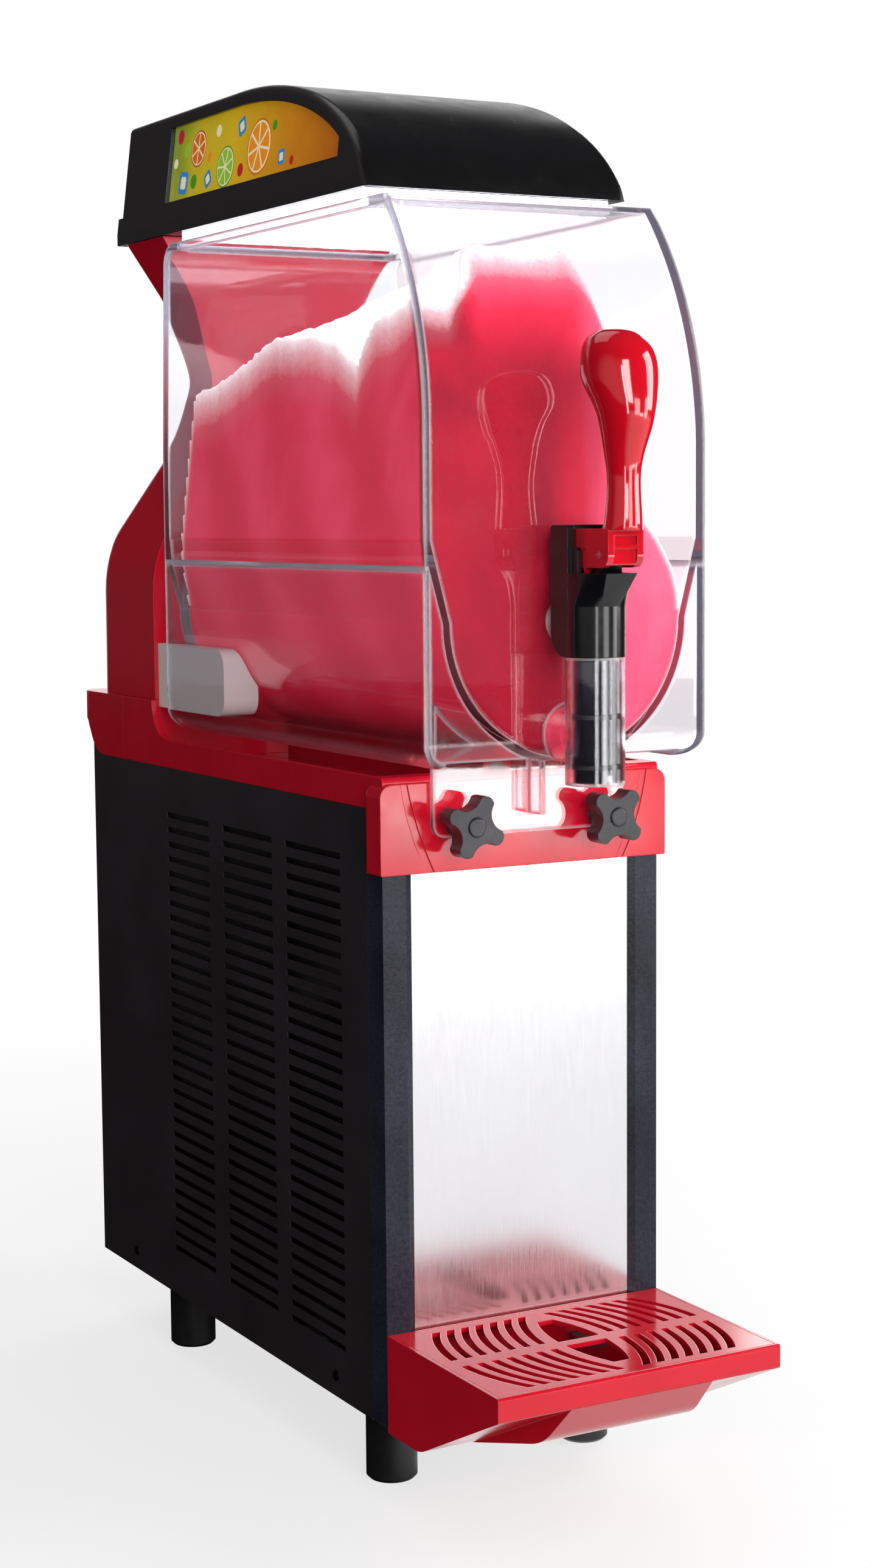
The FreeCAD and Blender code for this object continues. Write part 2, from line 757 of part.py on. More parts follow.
def make_gear_motor():
    start = bulkhead_back
    middle = start + gearbox_length
    end = middle + motor_length
    box_body = turned([(start, 0), (start, gearbox_radius), (middle - 4.0, gearbox_radius),
                       (middle, gearbox_radius - 4.0), (middle, 0)], axis_point, axis_point + V(0, 1, 0))
    body = turned([(middle - 1.0, 0), (middle - 1.0, motor_radius), (end - 6.0, motor_radius),
                   (end, motor_radius - 8.0), (end, 0)], axis_point, axis_point + V(0, 1, 0))
    socket = along_y(shaft_radius + fit, (start - 1.0, start + shaft_socket))
    return fused([box_body, body]).cut(socket)


def make_drive_shaft():
    start = -auger_front - auger_arm - nut_length + 4.0
    end = bulkhead_back + shaft_socket - 1.0
    return along_y(shaft_radius, (start, end))


def helix(radius, start, handed_turns):
    """Right-handed helix edge along Y from start."""
    curve = Part.makeHelix(auger_pitch, auger_pitch * handed_turns, radius)
    curve.rotate(V(0, 0, 0), V(1, 0, 0), -90)
    curve.translate(V(0, start, axis_z))
    return curve


def make_auger():
    start = -auger_front
    edges = [helix(auger_inner_radius, start, auger_turns).Edges[0],
             helix(auger_radius, start, auger_turns).Edges[0],
             helix(auger_radius, start + auger_blade, auger_turns).Edges[0],
             helix(auger_inner_radius, start + auger_blade, auger_turns).Edges[0]]
    faces = []
    for i in range(4):
        faces.append(Part.makeRuledSurface(edges[i], edges[(i + 1) % 4]))
    for end in (0, -1):
        corners = [edge.Vertexes[end].Point for edge in edges]
        faces.append(Part.Face(Part.makePolygon(corners + [corners[0]])))
    shell = Part.Shell([face for part in faces for face in part.Faces])
    shell.sewShape()
    blade = Part.Solid(shell)
    if blade.Volume < 0:
        blade.reverse()
    length = auger_pitch * auger_turns + auger_blade
    pieces = [blade]
    for side in (0, 180):
        rail = box((auger_inner_radius - 1.5, auger_inner_radius + 6.0), (start - auger_arm, start + length),
                   (axis_z - 4.0, axis_z + 4.0))
        arm = box((0, auger_inner_radius + 7.0), (start - auger_arm, start - 2.0), (axis_z - 6.0, axis_z + 6.0))
        for piece in (rail, arm):
            piece.rotate(axis_point, V(0, 1, 0), side)
            pieces.append(piece)
    pieces.append(along_y(auger_hub_radius, (start - auger_arm, start - 1.0)))
    return fused(pieces).cut(along_y(shaft_radius + fit, (start - 20.0, start + 20.0)))


def make_auger_nut():
    back = -auger_front - auger_arm - seat
    nose = turned([(back, 0), (back, nut_radius), (back - nut_length * 0.5, nut_radius),
                   (back - nut_length * 0.85, nut_radius * 0.7), (back - nut_length, nut_radius * 0.3),
                   (back - nut_length, 0)], axis_point, axis_point + V(0, 1, 0))
    return nose.cut(along_y(shaft_radius + fit, (back - nut_length + 3.5, back + 1.0)))


# Bowl

def bowl_side(inset, x):
    """Side face of the bowl, drawn in by inset: upright front with an arc leaning back to the rim."""
    front = -bowl_front + inset
    back = bowl_back - inset
    low = bowl_bottom
    rim = bowl_top - inset
    corner = bowl_bottom_corner
    rear_corner = 15.0 - inset
    foot = bowl_top - bowl_curve_height
    centre = V(x, -bowl_front + bowl_curve_radius, foot)
    radius = bowl_curve_radius - inset
    end_angle = math.asin((rim - foot) / radius)
    bend = [centre + V(0, -math.cos(a), math.sin(a)) * radius for a in (0, end_angle / 2, end_angle)]
    swing_in = corner * (1 - math.sqrt(0.5))
    rear_in = rear_corner * (1 - math.sqrt(0.5))
    low_front = [V(x, front, low + corner), V(x, front + swing_in, low + swing_in), V(x, front + corner, low)]
    low_back = [V(x, back - corner, low), V(x, back - swing_in, low + swing_in), V(x, back, low + corner)]
    top_back = [V(x, back, rim - rear_corner), V(x, back - rear_in, rim - rear_in), V(x, back - rear_corner, rim)]
    edges = [Part.Arc(*points).toShape() for points in (bend, low_front, low_back, top_back)]
    for start, end in ((bend[0], low_front[0]), (low_front[2], low_back[0]), (low_back[2], top_back[0]),
                       (top_back[2], bend[2])):
        edges.append(Part.LineSegment(start, end).toShape())
    return Part.Face(Part.Wire(Part.__sortEdges__(edges)))


def trough_prism(radius, half, top, y):
    """U section: half round below, sloping shoulders, upright then leaning walls above."""
    shoulder = axis_z + shoulder_rise
    lean = bowl_top - bowl_curve_height
    left = V(-radius, y[0], axis_z)
    right = V(radius, y[0], axis_z)
    points = [right, V(half, y[0], shoulder), V(half, y[0], lean), V(half - bowl_taper, y[0], top),
              V(bowl_taper - half, y[0], top), V(-half, y[0], lean), V(-half, y[0], shoulder), left]
    edges = [Part.Arc(left, V(0, y[0], axis_z - radius), right).toShape()]
    for start, end in zip(points, points[1:]):
        edges.append(Part.LineSegment(start, end).toShape())
    return Part.Face(Part.Wire(Part.__sortEdges__(edges))).extrude(V(0, y[1] - y[0], 0))


def make_bowl():
    front = -bowl_front
    plate_back = front + bowl_wall
    body = bowl_side(0.0, -half_bowl).extrude(V(bowl_width, 0, 0))
    corner = bowl_bottom_corner
    lean = bowl_top - bowl_curve_height
    rim_half = half_bowl - bowl_taper
    section = front_prism([(-half_bowl, bowl_bottom, corner), (half_bowl, bowl_bottom, corner),
                           (half_bowl, lean, 0), (rim_half, bowl_top + 1.0, 0), (-rim_half, bowl_top + 1.0, 0),
                           (-half_bowl, lean, 0)],
                          (front - 1.0, bowl_back + 1.0))
    body = body.common(section)
    inside = bowl_side(bowl_wall, -half_bowl).extrude(V(bowl_width, 0, 0))
    hollow = trough_prism(trough_radius, half_bowl - bowl_wall, bowl_top, (plate_back, bowl_back))
    inside = hollow.common(inside)
    top_opening = block(rim_half - bowl_wall - bowl_lip,
                        (lid_front + bowl_lip, bowl_back - bowl_wall - bowl_lip),
                        (bowl_top - bowl_wall - 1.0, bowl_top + 1.0), 8.0)
    side_room = front_prism([(-half_bowl + skirt_wall, bowl_bottom + skirt_wall, corner - skirt_wall),
                             (half_bowl - skirt_wall, bowl_bottom + skirt_wall, corner - skirt_wall),
                             (half_bowl - skirt_wall, axis_z + shoulder_rise, 0),
                             (-half_bowl + skirt_wall, axis_z + shoulder_rise, 0)],
                            (plate_back, bowl_back + 1.0))
    open_below = wide(half_bowl - skirt_wall - skirt_lip, (plate_back, bowl_back + 1.0),
                      (bowl_bottom - 1.0, bowl_bottom + skirt_wall + 1.0))
    shell = trough_prism(trough_outer, half_bowl, bowl_top, (plate_back - 1.0, bowl_back + 2.0))
    room = fused([side_room, open_below]).cut(shell)
    mouth = along_y(trough_radius, (bowl_back - 40.0, bowl_back + 1.0))
    body = body.cut(room)
    # Front plate below the bowl, clamped to the apron by the star knobs
    half_plate = front_plate_half_width
    plate = front_prism([(-half_plate, bowl_bottom - front_plate_drop, 8.0),
                         (half_plate, bowl_bottom - front_plate_drop, 8.0),
                         (half_plate, axis_z, 0), (-half_plate, axis_z, 0)],
                        (front_plate_front, front_plate_back))
    gusset = wide(2.0, (front_plate_front - front_gusset_reach, front_plate_front + 1.0),
                  (bowl_bottom - 34.0, bowl_bottom + 8.0))
    # Outlet to the tap and the tap's upright tube
    outlet_end = V(0, -outlet_reach, outlet_z)
    outlet = fused([bar(outlet_bore + outlet_wall, V(0, tap_y, outlet_z), outlet_end),
                    Part.makeSphere(outlet_bore + outlet_wall, outlet_end)])
    barrel = along_z(tap_outer_radius, (tap_foot, bracket_foot), 0, tap_y)
    spigot = along_z(tap_spigot_radius, (bracket_foot - 1.0, bracket_foot + tap_spigot), 0, tap_y)
    solid = fused([body, plate, gusset, outlet, barrel, spigot])
    stud = bar(knob_stud_radius + 0.5, V(knob_spacing, front_plate_front - 1, knob_z),
               V(knob_spacing, front_plate_back + 1, knob_z))
    bore = along_z(tap_bore, (tap_foot - 1.0, bracket_foot + tap_spigot + 1.0), 0, tap_y)
    passage = fused([bar(outlet_bore, V(0, tap_y, outlet_z), outlet_end),
                     Part.makeSphere(outlet_bore, outlet_end)])
    for piece in (inside, top_opening, mouth, bore, passage, stud, mirrored(stud)):
        solid = solid.cut(piece)
    return solid


def make_guide_block():
    back = tower_side_front - seat
    front = bowl_back - guide_front
    low = bowl_bottom + guide_bottom
    outer = half_bowl - skirt_wall - swing
    corners = [(front, low, guide_corner), (back, low, 0), (back, low + guide_height, 0),
               (front, low + guide_height, guide_corner)]
    blank = side_prism(corners, (outer - 26.0, outer))
    around = along_y(trough_outer + swing, (front - 1.0, back + 1.0))
    beside_tower = along_y(trough_outer + tower_rim + seat, (tower_front - seat, back + 1.0))
    return blank.cut(around).cut(beside_tower)


# Tap

def make_tap_piston():
    low = tap_foot + 1.5
    top = bracket_foot + 1.0
    floor = low + piston_cup_floor
    body = along_z(piston_radius, (low, top), 0, tap_y)
    body = body.cut(along_z(piston_cup_bore, (floor, top + 1.0), 0, tap_y))
    for height in (piston_seal_low, piston_seal_high):
        groove = tube(piston_radius + 1.0, piston_radius - 1.6, V(0, tap_y, low + height),
                      V(0, tap_y, low + height + piston_seal_width))
        body = body.cut(groove)
    stem = along_z(stem_radius, (floor - 1.0, stem_pin_z + 5.0), 0, tap_y)
    hole = along_x(stem_pin_radius + fit, (-20.0, 20.0), tap_y, stem_pin_z)
    return fused([body, stem]).cut(hole)


def make_piston_seals():
    low = tap_foot + 1.5
    seals = []
    for height in (piston_seal_low, piston_seal_high):
        z = low + height + seat / 2
        seals.append(tube(tap_bore - 0.1, piston_radius - 1.5, V(0, tap_y, z),
                          V(0, tap_y, z + piston_seal_width - seat)))
    return Part.makeCompound(seals)


def make_stem_pin():
    return along_x(stem_pin_radius, (-lever_half_width, lever_half_width), tap_y, stem_pin_z)


def make_tap_spring():
    low = tap_foot + 1.5 + piston_cup_floor + seat
    top = bracket_foot + bracket_height - bracket_cap - seat
    return tube(spring_radius + spring_wire / 2, spring_radius - spring_wire / 2,
                V(0, tap_y, low), V(0, tap_y, top))


def cup_section(radius, lip_half, lip_y, z):
    """Plan wire of the cup: round at the back, drawn out to a flat lip at the front."""
    reach = tap_y - lip_y
    distance = math.hypot(lip_half, reach)
    angle = math.atan2(lip_half, reach) + math.acos(radius / distance)
    touch = V(radius * math.sin(angle), tap_y - radius * math.cos(angle), z)
    lip = V(lip_half, lip_y, z)
    edges = [Part.Arc(touch, V(0, tap_y + radius, z), V(-touch.x, touch.y, z)).toShape()]
    corners = [V(-touch.x, touch.y, z), V(-lip.x, lip.y, z), lip, touch]
    for start, end in zip(corners, corners[1:]):
        edges.append(Part.LineSegment(start, end).toShape())
    return Part.Wire(edges)


def round_section(radius, z):
    """Full circle about the tap, split like the cup's section."""
    def at(degrees):
        turn = math.radians(degrees)
        return V(radius * math.sin(turn), tap_y - radius * math.cos(turn), z)
    edges = [Part.Arc(at(100), at(180), at(260)).toShape()]
    for start, end in ((-100, -20), (-20, 20), (20, 100)):
        edges.append(Part.Arc(at(start), at((start + end) / 2), at(end)).toShape())
    return Part.Wire(edges)


def make_tap_bracket():
    outer = tap_outer_radius + seat
    foot = bracket_foot + seat
    floor = bracket_foot + bracket_height
    rim = bracket_rim_z
    lip_y = tap_y - bracket_nose
    taper_z = floor - 4.5
    back = tap_y + bracket_cheek_back
    wall = bracket_wall
    sleeve = along_z(outer, (foot, taper_z), 0, tap_y)
    cup = Part.makeLoft([round_section(outer, taper_z),
                         cup_section(outer, bracket_lip_half, lip_y, rim)], True, True)
    cheeks = side_prism([(back - bracket_cheek_depth, foot, 0), (back, foot, 15.0),
                         (back, bracket_foot + bracket_cheek_height, 2.0),
                         (back - bracket_cheek_depth, bracket_foot + bracket_cheek_height, 2.0)], (-outer, outer))
    ears = side_prism([(tap_y - 5.8, rim - 5.0, 0), (tap_y + 5.0, rim - 5.0, 0),
                       (tap_y + 5.0, bracket_foot + bracket_ear_height, 0),
                       (tap_y - 5.8, bracket_foot + bracket_ear_height, 3.0)], (-outer + 2.8, outer - 2.8))
    solid = fused([sleeve, cup, cheeks, ears])
    inner = lever_half_width + swing
    well = Part.makeLoft([round_section(outer - wall, floor),
                          cup_section(outer - wall, bracket_lip_half - wall, lip_y + wall, rim)], True, True)
    behind = wide(inner, (tap_y - 2.0, back - wall), (floor, pivot_z + 60.0))
    above = wide(inner, (lip_y - 5.0, tap_y), (rim, pivot_z + 60.0))
    solid = solid.cut(well).cut(behind).cut(above)
    arm = side_prism([(tap_y - 14.0, floor - 2.0, 0), (tap_y - 7.2, floor - 2.0, 0),
                      (tap_y - 7.2, pivot_z - 1.5, 3.0), (pivot_y + 3.0, pivot_z + bracket_arm, 0),
                      (pivot_y, pivot_z + bracket_arm - 0.5, 0), (pivot_y + 5.0, pivot_z - 5.5, 0)],
                     (-bracket_arm_half, bracket_arm_half))
    hub = along_x(bracket_arm, (-bracket_arm_half, bracket_arm_half), pivot_y, pivot_z)
    solid = fused([solid, arm, hub])
    socket = along_z(tap_spigot_radius + seat, (bracket_foot - 1.0, floor - bracket_cap), 0, tap_y)
    guide = along_z(stem_radius + 0.4, (bracket_foot, pivot_z), 0, tap_y)
    pivot = along_x(pivot_radius + fit, (-30.0, 30.0), pivot_y, pivot_z)
    return solid.cut(socket).cut(guide).cut(pivot)


def make_lever_pivot_pin():
    half = lever_half_width - 0.5
    return along_x(pivot_radius, (-half, half), pivot_y, pivot_z)


def lever_handle():
    """Smooth grip: slim neck, then a head that swells and leans back."""
    foot = lever_top_z - 1.0
    neck = handle_neck_radius
    head = handle_head_radius
    lean = handle_lean
    # share of the height, radius, lean towards the machine
    shape = ((0.0, neck + 1.8, 0.4 * lean), (0.06, neck + 1.0, 0.1 * lean), (0.15, neck + 0.2, 0.0),
             (0.28, neck, 0.0), (0.39, neck + 1.9, -0.1 * lean), (0.49, neck + 4.7, -0.5 * lean),
             (0.59, neck + 7.4, -0.5 * lean), (0.68, head - 2.4, 0.2 * lean), (0.77, head, lean),
             (0.85, head - 0.2, 1.3 * lean), (0.92, head - 2.3, 1.7 * lean), (0.97, head - 6.5, 2.0 * lean),
             (1.0, head - 12.0, 2.2 * lean))
    rings = []
    for share, radius, offset in shape:
        centre = V(0, handle_y + offset, foot + share * handle_height)
        rings.append(Part.Wire(Part.Circle(centre, V(0, 0, 1), radius).toShape()))
    return Part.makeLoft(rings, True, False)


def make_tap_lever():
    tail = pivot_y + lever_tail
    front = pivot_y - lever_nose_radius
    under = pivot_z - lever_drop
    lobe_low = stem_pin_z - stem_pin_radius - 4.6
    # Side walls with a rounded nose and, behind it, lobes round the stem's cross pin
    walls = side_prism([(front, under, lever_drop - 0.1), (tap_y - 9.5, under, 3.0),
                        (tap_y - 6.0, lobe_low, 3.0), (tail - 2.5, lobe_low, 6.0), (tail, stem_pin_z + 8.0, 3.0), (tail, lever_top_z, 2.0),
                        (front, lever_top_z, 1.5)], (-lever_half_width, lever_half_width))
    inner = lever_half_width - lever_wall
    roof = lever_top_z - lever_wall
    room = side_prism([(front + lever_wall, 0, 0), (tail + 10.0, 0, 0), (tail + 10.0, roof, 0),
                       (front + lever_wall, roof, 1.5)], (-inner, inner))
    pocket = wide(inner - 0.8, (front - 1.0, front + lever_wall - 1.4), (under - 1.0, roof - 0.5))
    bridge = wide(inner, (front + 0.6, front + lever_wall - 0.5), (pivot_z + 3.2, pivot_z + 5.6))
    block_solid = fused([walls.cut(room).cut(pocket), bridge])
    # Slot that the cross pin slides in as the lever turns
    start_angle = math.radians(-lever_angle / 2)
    pivot_point = V(0, pivot_y, pivot_z)
    along = V(0, math.cos(start_angle), math.sin(start_angle))
    near = pivot_point + along * (pivot_reach - 2.0)
    far = pivot_point + along * (pivot_reach / math.cos(start_angle) + 2.0)
    slot_radius = stem_pin_radius + swing
    across = V(0, -along.z, along.y) * slot_radius
    slot_wire = Part.makePolygon([near + across, far + across, far - across, near - across, near + across])
    slot = Part.Face(slot_wire).extrude(V(60.0, 0, 0))
    slot.translate(V(-30.0, 0, 0))
    rounds = [along_x(slot_radius, (-30.0, 30.0), end.y, end.z) for end in (near, far)]
    pivot = along_x(pivot_radius + fit, (-30.0, 30.0), pivot_y, pivot_z)
    block_solid = block_solid.cut(fused([slot] + rounds)).cut(pivot)
    return fused([block_solid, lever_handle()])


# Star knobs

def star_wire(y, turn):
    """Four tips joined by hollow arcs."""
    edges = []
    tips = []
    for i in range(4):
        angle = math.radians(90 * i)
        out = V(math.cos(angle), 0, math.sin(angle))
        side = V(-math.sin(angle), 0, math.cos(angle))
        shoulder = knob_tip_radius - knob_tip_half_width * 0.6
        tips.append((out * shoulder - side * knob_tip_half_width, out * knob_tip_radius,
                     out * shoulder + side * knob_tip_half_width))
    for i, (start, crest, end) in enumerate(tips):
        edges.append(Part.Arc(start, crest, end).toShape())
        angle = math.radians(90 * i + 45)
        valley = V(math.cos(angle), 0, math.sin(angle)) * knob_valley_radius
        edges.append(Part.Arc(end, valley, tips[(i + 1) % 4][0]).toShape())
    wire = Part.Wire(Part.__sortEdges__(edges))
    wire.rotate(V(0, 0, 0), V(0, 1, 0), -turn)
    wire.translate(V(0, y, 0))
    return wire


def make_knob(x, turn):
    hub_back = front_plate_front - seat
    star_back = hub_back - knob_hub_length
    front = star_back - knob_thickness
    centre = V(x, 0, knob_z)
    star = Part.Face(star_wire(star_back, turn)).extrude(V(0, -knob_thickness, 0))
    star.translate(centre)
    hub = bar(knob_hub_radius, centre + V(0, hub_back, 0), centre + V(0, star_back - 1.0, 0))
    pocket = bar(knob_cap_radius + fit, centre + V(0, front + 2.0, 0), centre + V(0, front - 1.0, 0))
    stud = bar(knob_stud_radius + fit, centre + V(0, hub_back + 1.0, 0), centre + V(0, hub_back - 14.0, 0))
    return fused([star, hub]).cut(pocket).cut(stud)


def make_knob_cap(x):
    front = front_plate_front - seat - knob_hub_length - knob_thickness
    start = V(x, front + 2.0, knob_z)
    return turned([(0, 0), (0, knob_cap_radius), (2.4, knob_cap_radius), (3.0, knob_cap_radius - 0.8),
                   (3.0, 0)], start, start + V(0, -1, 0))


def make_knob_stud(x):
    back = front_plate_front - seat - 13.0
    return bar(knob_stud_radius, V(x, back, knob_z), V(x, back + knob_stud_length, knob_z))


# Lid

def lid_side(inset, x):
    """Side face of the lid, drawn in by inset."""
    low = lid_bottom
    top = lid_bottom + lid_height - inset
    back = lid_back - inset
    crown = lid_front + lid_curve_depth
    start_z = lid_bottom + lid_height - lid_curve_height
    curve = quarter_ellipse((lid_front + inset, start_z), (crown, top), x)
    cut = Part.makeBox(2.0, 1000.0, 500.0, V(x - 1.0, -100.0, low))
    curve = curve.common(cut).Edges[0]
    ends = sorted((vertex.Point for vertex in curve.Vertexes), key=lambda point: point.z)
    step_z = low + lid_step - inset
    step_y = back - lid_step_inset
    corners = [ends[1], V(x, step_y, top), V(x, step_y, step_z), V(x, back, step_z), V(x, back, low), ends[0]]
    edges = [curve]
    for start, end in zip(corners, corners[1:]):
        edges.append(Part.LineSegment(start, end).toShape())
    return Part.Face(Part.Wire(Part.__sortEdges__(edges)))


def lid_front_shape(inset):
    """Front outline of the lid run along Y, its sides leaning in above the flange."""
    foot = lid_half_width - inset
    low = lid_bottom - 20.0
    lean_z = lid_bottom + 8.0
    top = lid_bottom + lid_height + 20.0
    head = foot - lid_slope * (top - lean_z)
    corners = [(-foot, low), (foot, low), (foot, lean_z), (head, top), (-head, top), (-foot, lean_z)]
    return front_prism([(u, v, 0) for u, v in corners], (lid_front - 10.0, lid_back + 10.0))


def sign_shape(margin):
    """Sign outline run across the whole lid: it follows the lid's curve at one margin."""
    outer = lid_side(margin, -half_case).extrude(V(case_width, 0, 0))
    spread = sign_margin - margin
    low = lid_bottom + sign_bottom - spread
    front = lid_front + sign_bottom * 2 - 2.0 - spread
    keep = wide(half_case, (front, lid_back - sign_back + spread), (low, lid_bottom + lid_height))
    return outer.common(keep)


def make_lid_shell():
    body = lid_side(0.0, -half_case).extrude(V(case_width, 0, 0)).common(lid_front_shape(0.0))
    top = lid_bottom + lid_height
    rounded = []
    for edge in body.Edges:
        span = edge.BoundBox
        level = span.ZLength < 0.01
        if span.XMin * span.XMax > 0 and span.YLength > 0.3 and span.YMin < lid_back - 100.0:
            if span.ZMin > lid_bottom - 0.01 and not (level and span.ZMax < top - 1.0):
                rounded.append(edge)
    body = body.makeFillet(lid_round, rounded)
    inside = lid_side(lid_wall, -half_case).extrude(V(case_width, 0, 0)).common(lid_front_shape(lid_wall))
    drop = inside.copy()
    drop.translate(V(0, 0, -lid_wall))
    return body.cut(inside).cut(drop).cut(sign_shape(sign_margin))


def make_sign_panel():
    outer = lid_wall + seat / 2
    slab = lid_front_shape(outer).cut(lid_front_shape(outer + sign_panel_wall))
    right = box((0, case_width), (0, lid_back), (lid_bottom, lid_bottom + lid_height))
    return sign_shape(sign_margin - 4.0).common(slab).common(right)


def make_lid_plate():
    half = lid_half_width - lid_wall - seat
    z = (lid_bottom, lid_bottom + lid_plate)
    plate = wide(half, (lid_front + 9.0, lid_back - 9.0), z)
    window = block(diffuser_half_width - 10.0, (lid_front + 24.0, bowl_back - 20.0),
                   (z[0] - 1.0, z[1] + 1.0), 12.0)
    return plate.cut(window)


def make_lid_diffuser():
    return block(diffuser_half_width, (lid_front + 9.0, bowl_back - 8.0),
                 (lid_bottom - diffuser_wall, lid_bottom), 10.0)


def make_lid_lamp():
    low = lid_bottom + lid_plate
    body = wide(diffuser_half_width - 16.0, (bowl_back - 16.0, bowl_back - 16.0 + lamp_width), (low, low + 8.0))
    lens = wide(diffuser_half_width - 18.0, (bowl_back - 16.0 - 3.0, bowl_back - 15.0), (low + 1.5, low + 6.5))
    return fused([body, lens])


# Drip tray

def tray_outline(inset, knee_share, knee_height):
    """Side outline of the tray: flat top, short face and swept underside."""
    back = -seat - inset
    front = tray_front + inset
    low = tray_bottom_z + inset
    knee_y = front + knee_share * tray_depth - inset
    return [(front, tray_top_z, 0 if inset else 2.0), (back, tray_top_z, 0), (back, low, 0),
            (back - 0.3 * tray_depth, low, 30.0), (knee_y, low + knee_height * tray_height, 40.0),
            (front, tray_top_z - tray_face + inset, 2.0)]


def make_drip_tray():
    body = side_prism(tray_outline(0.0, 0.28, 0.46), (-half_case, half_case))
    flare = keel_half_width + keel_flare
    keel = side_prism(tray_outline(0.0, 0.2, 0.3), (-half_case, half_case))
    keel = keel.common(plan_prism([(-keel_half_width, tray_front, 0), (keel_half_width, tray_front, 0),
                                   (flare, -seat, 0), (-flare, -seat, 0)], (0, tray_top_z - tray_face)))
    well_half = half_case - tray_wall - 2.0
    well = side_prism(tray_outline(tray_wall, 0.28, 0.46), (-well_half, well_half))
    above = well.copy()
    above.translate(V(0, 0, 2.0))
    z = tray_top_z
    ledge = wide(half_case - tray_wall + 1.5 + seat, (tray_front + grille_ledge - seat, -grille_ledge),
                 (z - grille_sheet - seat, z + 5.0))
    cut = swing / 2
    slot_z = z - tongue_drop
    slot = box((tongue_spacing - tongue_width / 2 - cut, tongue_spacing + tongue_width / 2 + cut),
               (-tray_wall - 2.0, 1.0), (slot_z - cut, slot_z + tongue_sheet + cut))
    tray = fused([body, keel]).cut(well).cut(above).cut(ledge)
    return tray.cut(slot).cut(mirrored(slot))


def grille_slot(middle_x, low_y, high_y, centre_y, width):
    """Curved slot that bows to the left, its arc centre level with the middle bar."""
    centre = V(middle_x + slot_curve, centre_y, 0)
    wires = []
    for radius in (slot_curve + width / 2, slot_curve - width / 2):
        span = [math.asin((y - centre_y) / radius) for y in (low_y, high_y)]
        span.insert(1, sum(span) / 2)
        wires.append([centre + V(-radius * math.cos(a), radius * math.sin(a), 0) for a in span])
    outer, inner = wires
    edges = [Part.Arc(*outer).toShape(), Part.LineSegment(outer[2], inner[2]).toShape(),
             Part.Arc(*inner).toShape(), Part.LineSegment(inner[0], outer[0]).toShape()]
    return Part.Wire(Part.__sortEdges__(edges))


def make_drip_grille():
    z = tray_top_z - grille_sheet
    half = half_case - tray_wall + 1.5
    front = tray_front + grille_ledge
    back = -seat - grille_ledge
    middle = (front + back) / 2
    plate = block(half, (front, back), (z, z + grille_sheet), 1.5)
    holes = []
    for side in (1, -1):
        near = middle + side * slot_bar / 2
        far = middle + side * ((back - front) / 2 - slot_edge)
        low_y, high_y = min(near, far), max(near, far)
        for i in range(slot_count):
            x = -half + grille_margin + slot_width / 2 + i * slot_pitch
            wire = grille_slot(x, low_y, high_y, middle, slot_width)
            holes.append(wire)
            holes.append(wire.mirror(V(0, 0, 0), V(1, 0, 0)))
    cutters = []
    for wire in holes:
        face = Part.Face(wire)
        face.translate(V(0, 0, z - 1.0))
        cutters.append(face.extrude(V(0, 0, grille_sheet + 2.0)))
    # Two drop-shaped openings between the inner slots
    eye_x = -half + grille_margin + slot_width / 2 + slot_count * slot_pitch
    left = bar(slot_curve, V(eye_x + slot_curve, middle, z - 1.0), V(eye_x + slot_curve, middle, z + 5.0))
    lens = left.common(mirrored(left))
    for side in (1, -1):
        near = middle + side * slot_bar / 3
        far = middle + side * ((back - front) / 2 - 3 * slot_edge)
        cutters.append(lens.common(wide(half, (min(near, far), max(near, far)), (z - 1.0, z + 5.0))))
    return plate.cut(Part.makeCompound(cutters))


# Cooling unit inside the cabinet

def make_compressor():
    y = case_depth - compressor_radius - 30.0
    low = case_bottom + frame_sheet
    plate = wide(compressor_radius + 8.0, (y - compressor_radius, y + compressor_radius), (low, low + 8.0))
    radius = compressor_radius
    can = turned([(7.0, 0), (7.0, radius - 14.0), (18.0, radius), (compressor_height - 30.0, radius),
                  (compressor_height - 8.0, radius - 18.0), (compressor_height, 0)],
                 V(0, y, low), V(0, y, low + 1.0))
    return fused([plate, can])


def make_condenser():
    low = case_bottom + frame_sheet
    y = (condenser_place, condenser_place + condenser_depth)
    half = condenser_half_width
    core = wide(half, y, (low, low + condenser_height))
    pitch = 2 * half / condenser_fins
    gaps = []
    for i in range(condenser_fins):
        x = -half + i * pitch
        gaps.append(box((x + 2.0, x + pitch - 1.0), (y[0] - 1.0, y[0] + condenser_depth * 0.4),
                        (low + 8.0, low + condenser_height - 8.0)))
    return core.cut(Part.makeCompound(gaps))


def fan_y():
    return condenser_place + condenser_depth


def fan_z():
    return case_bottom + frame_sheet + condenser_height / 2


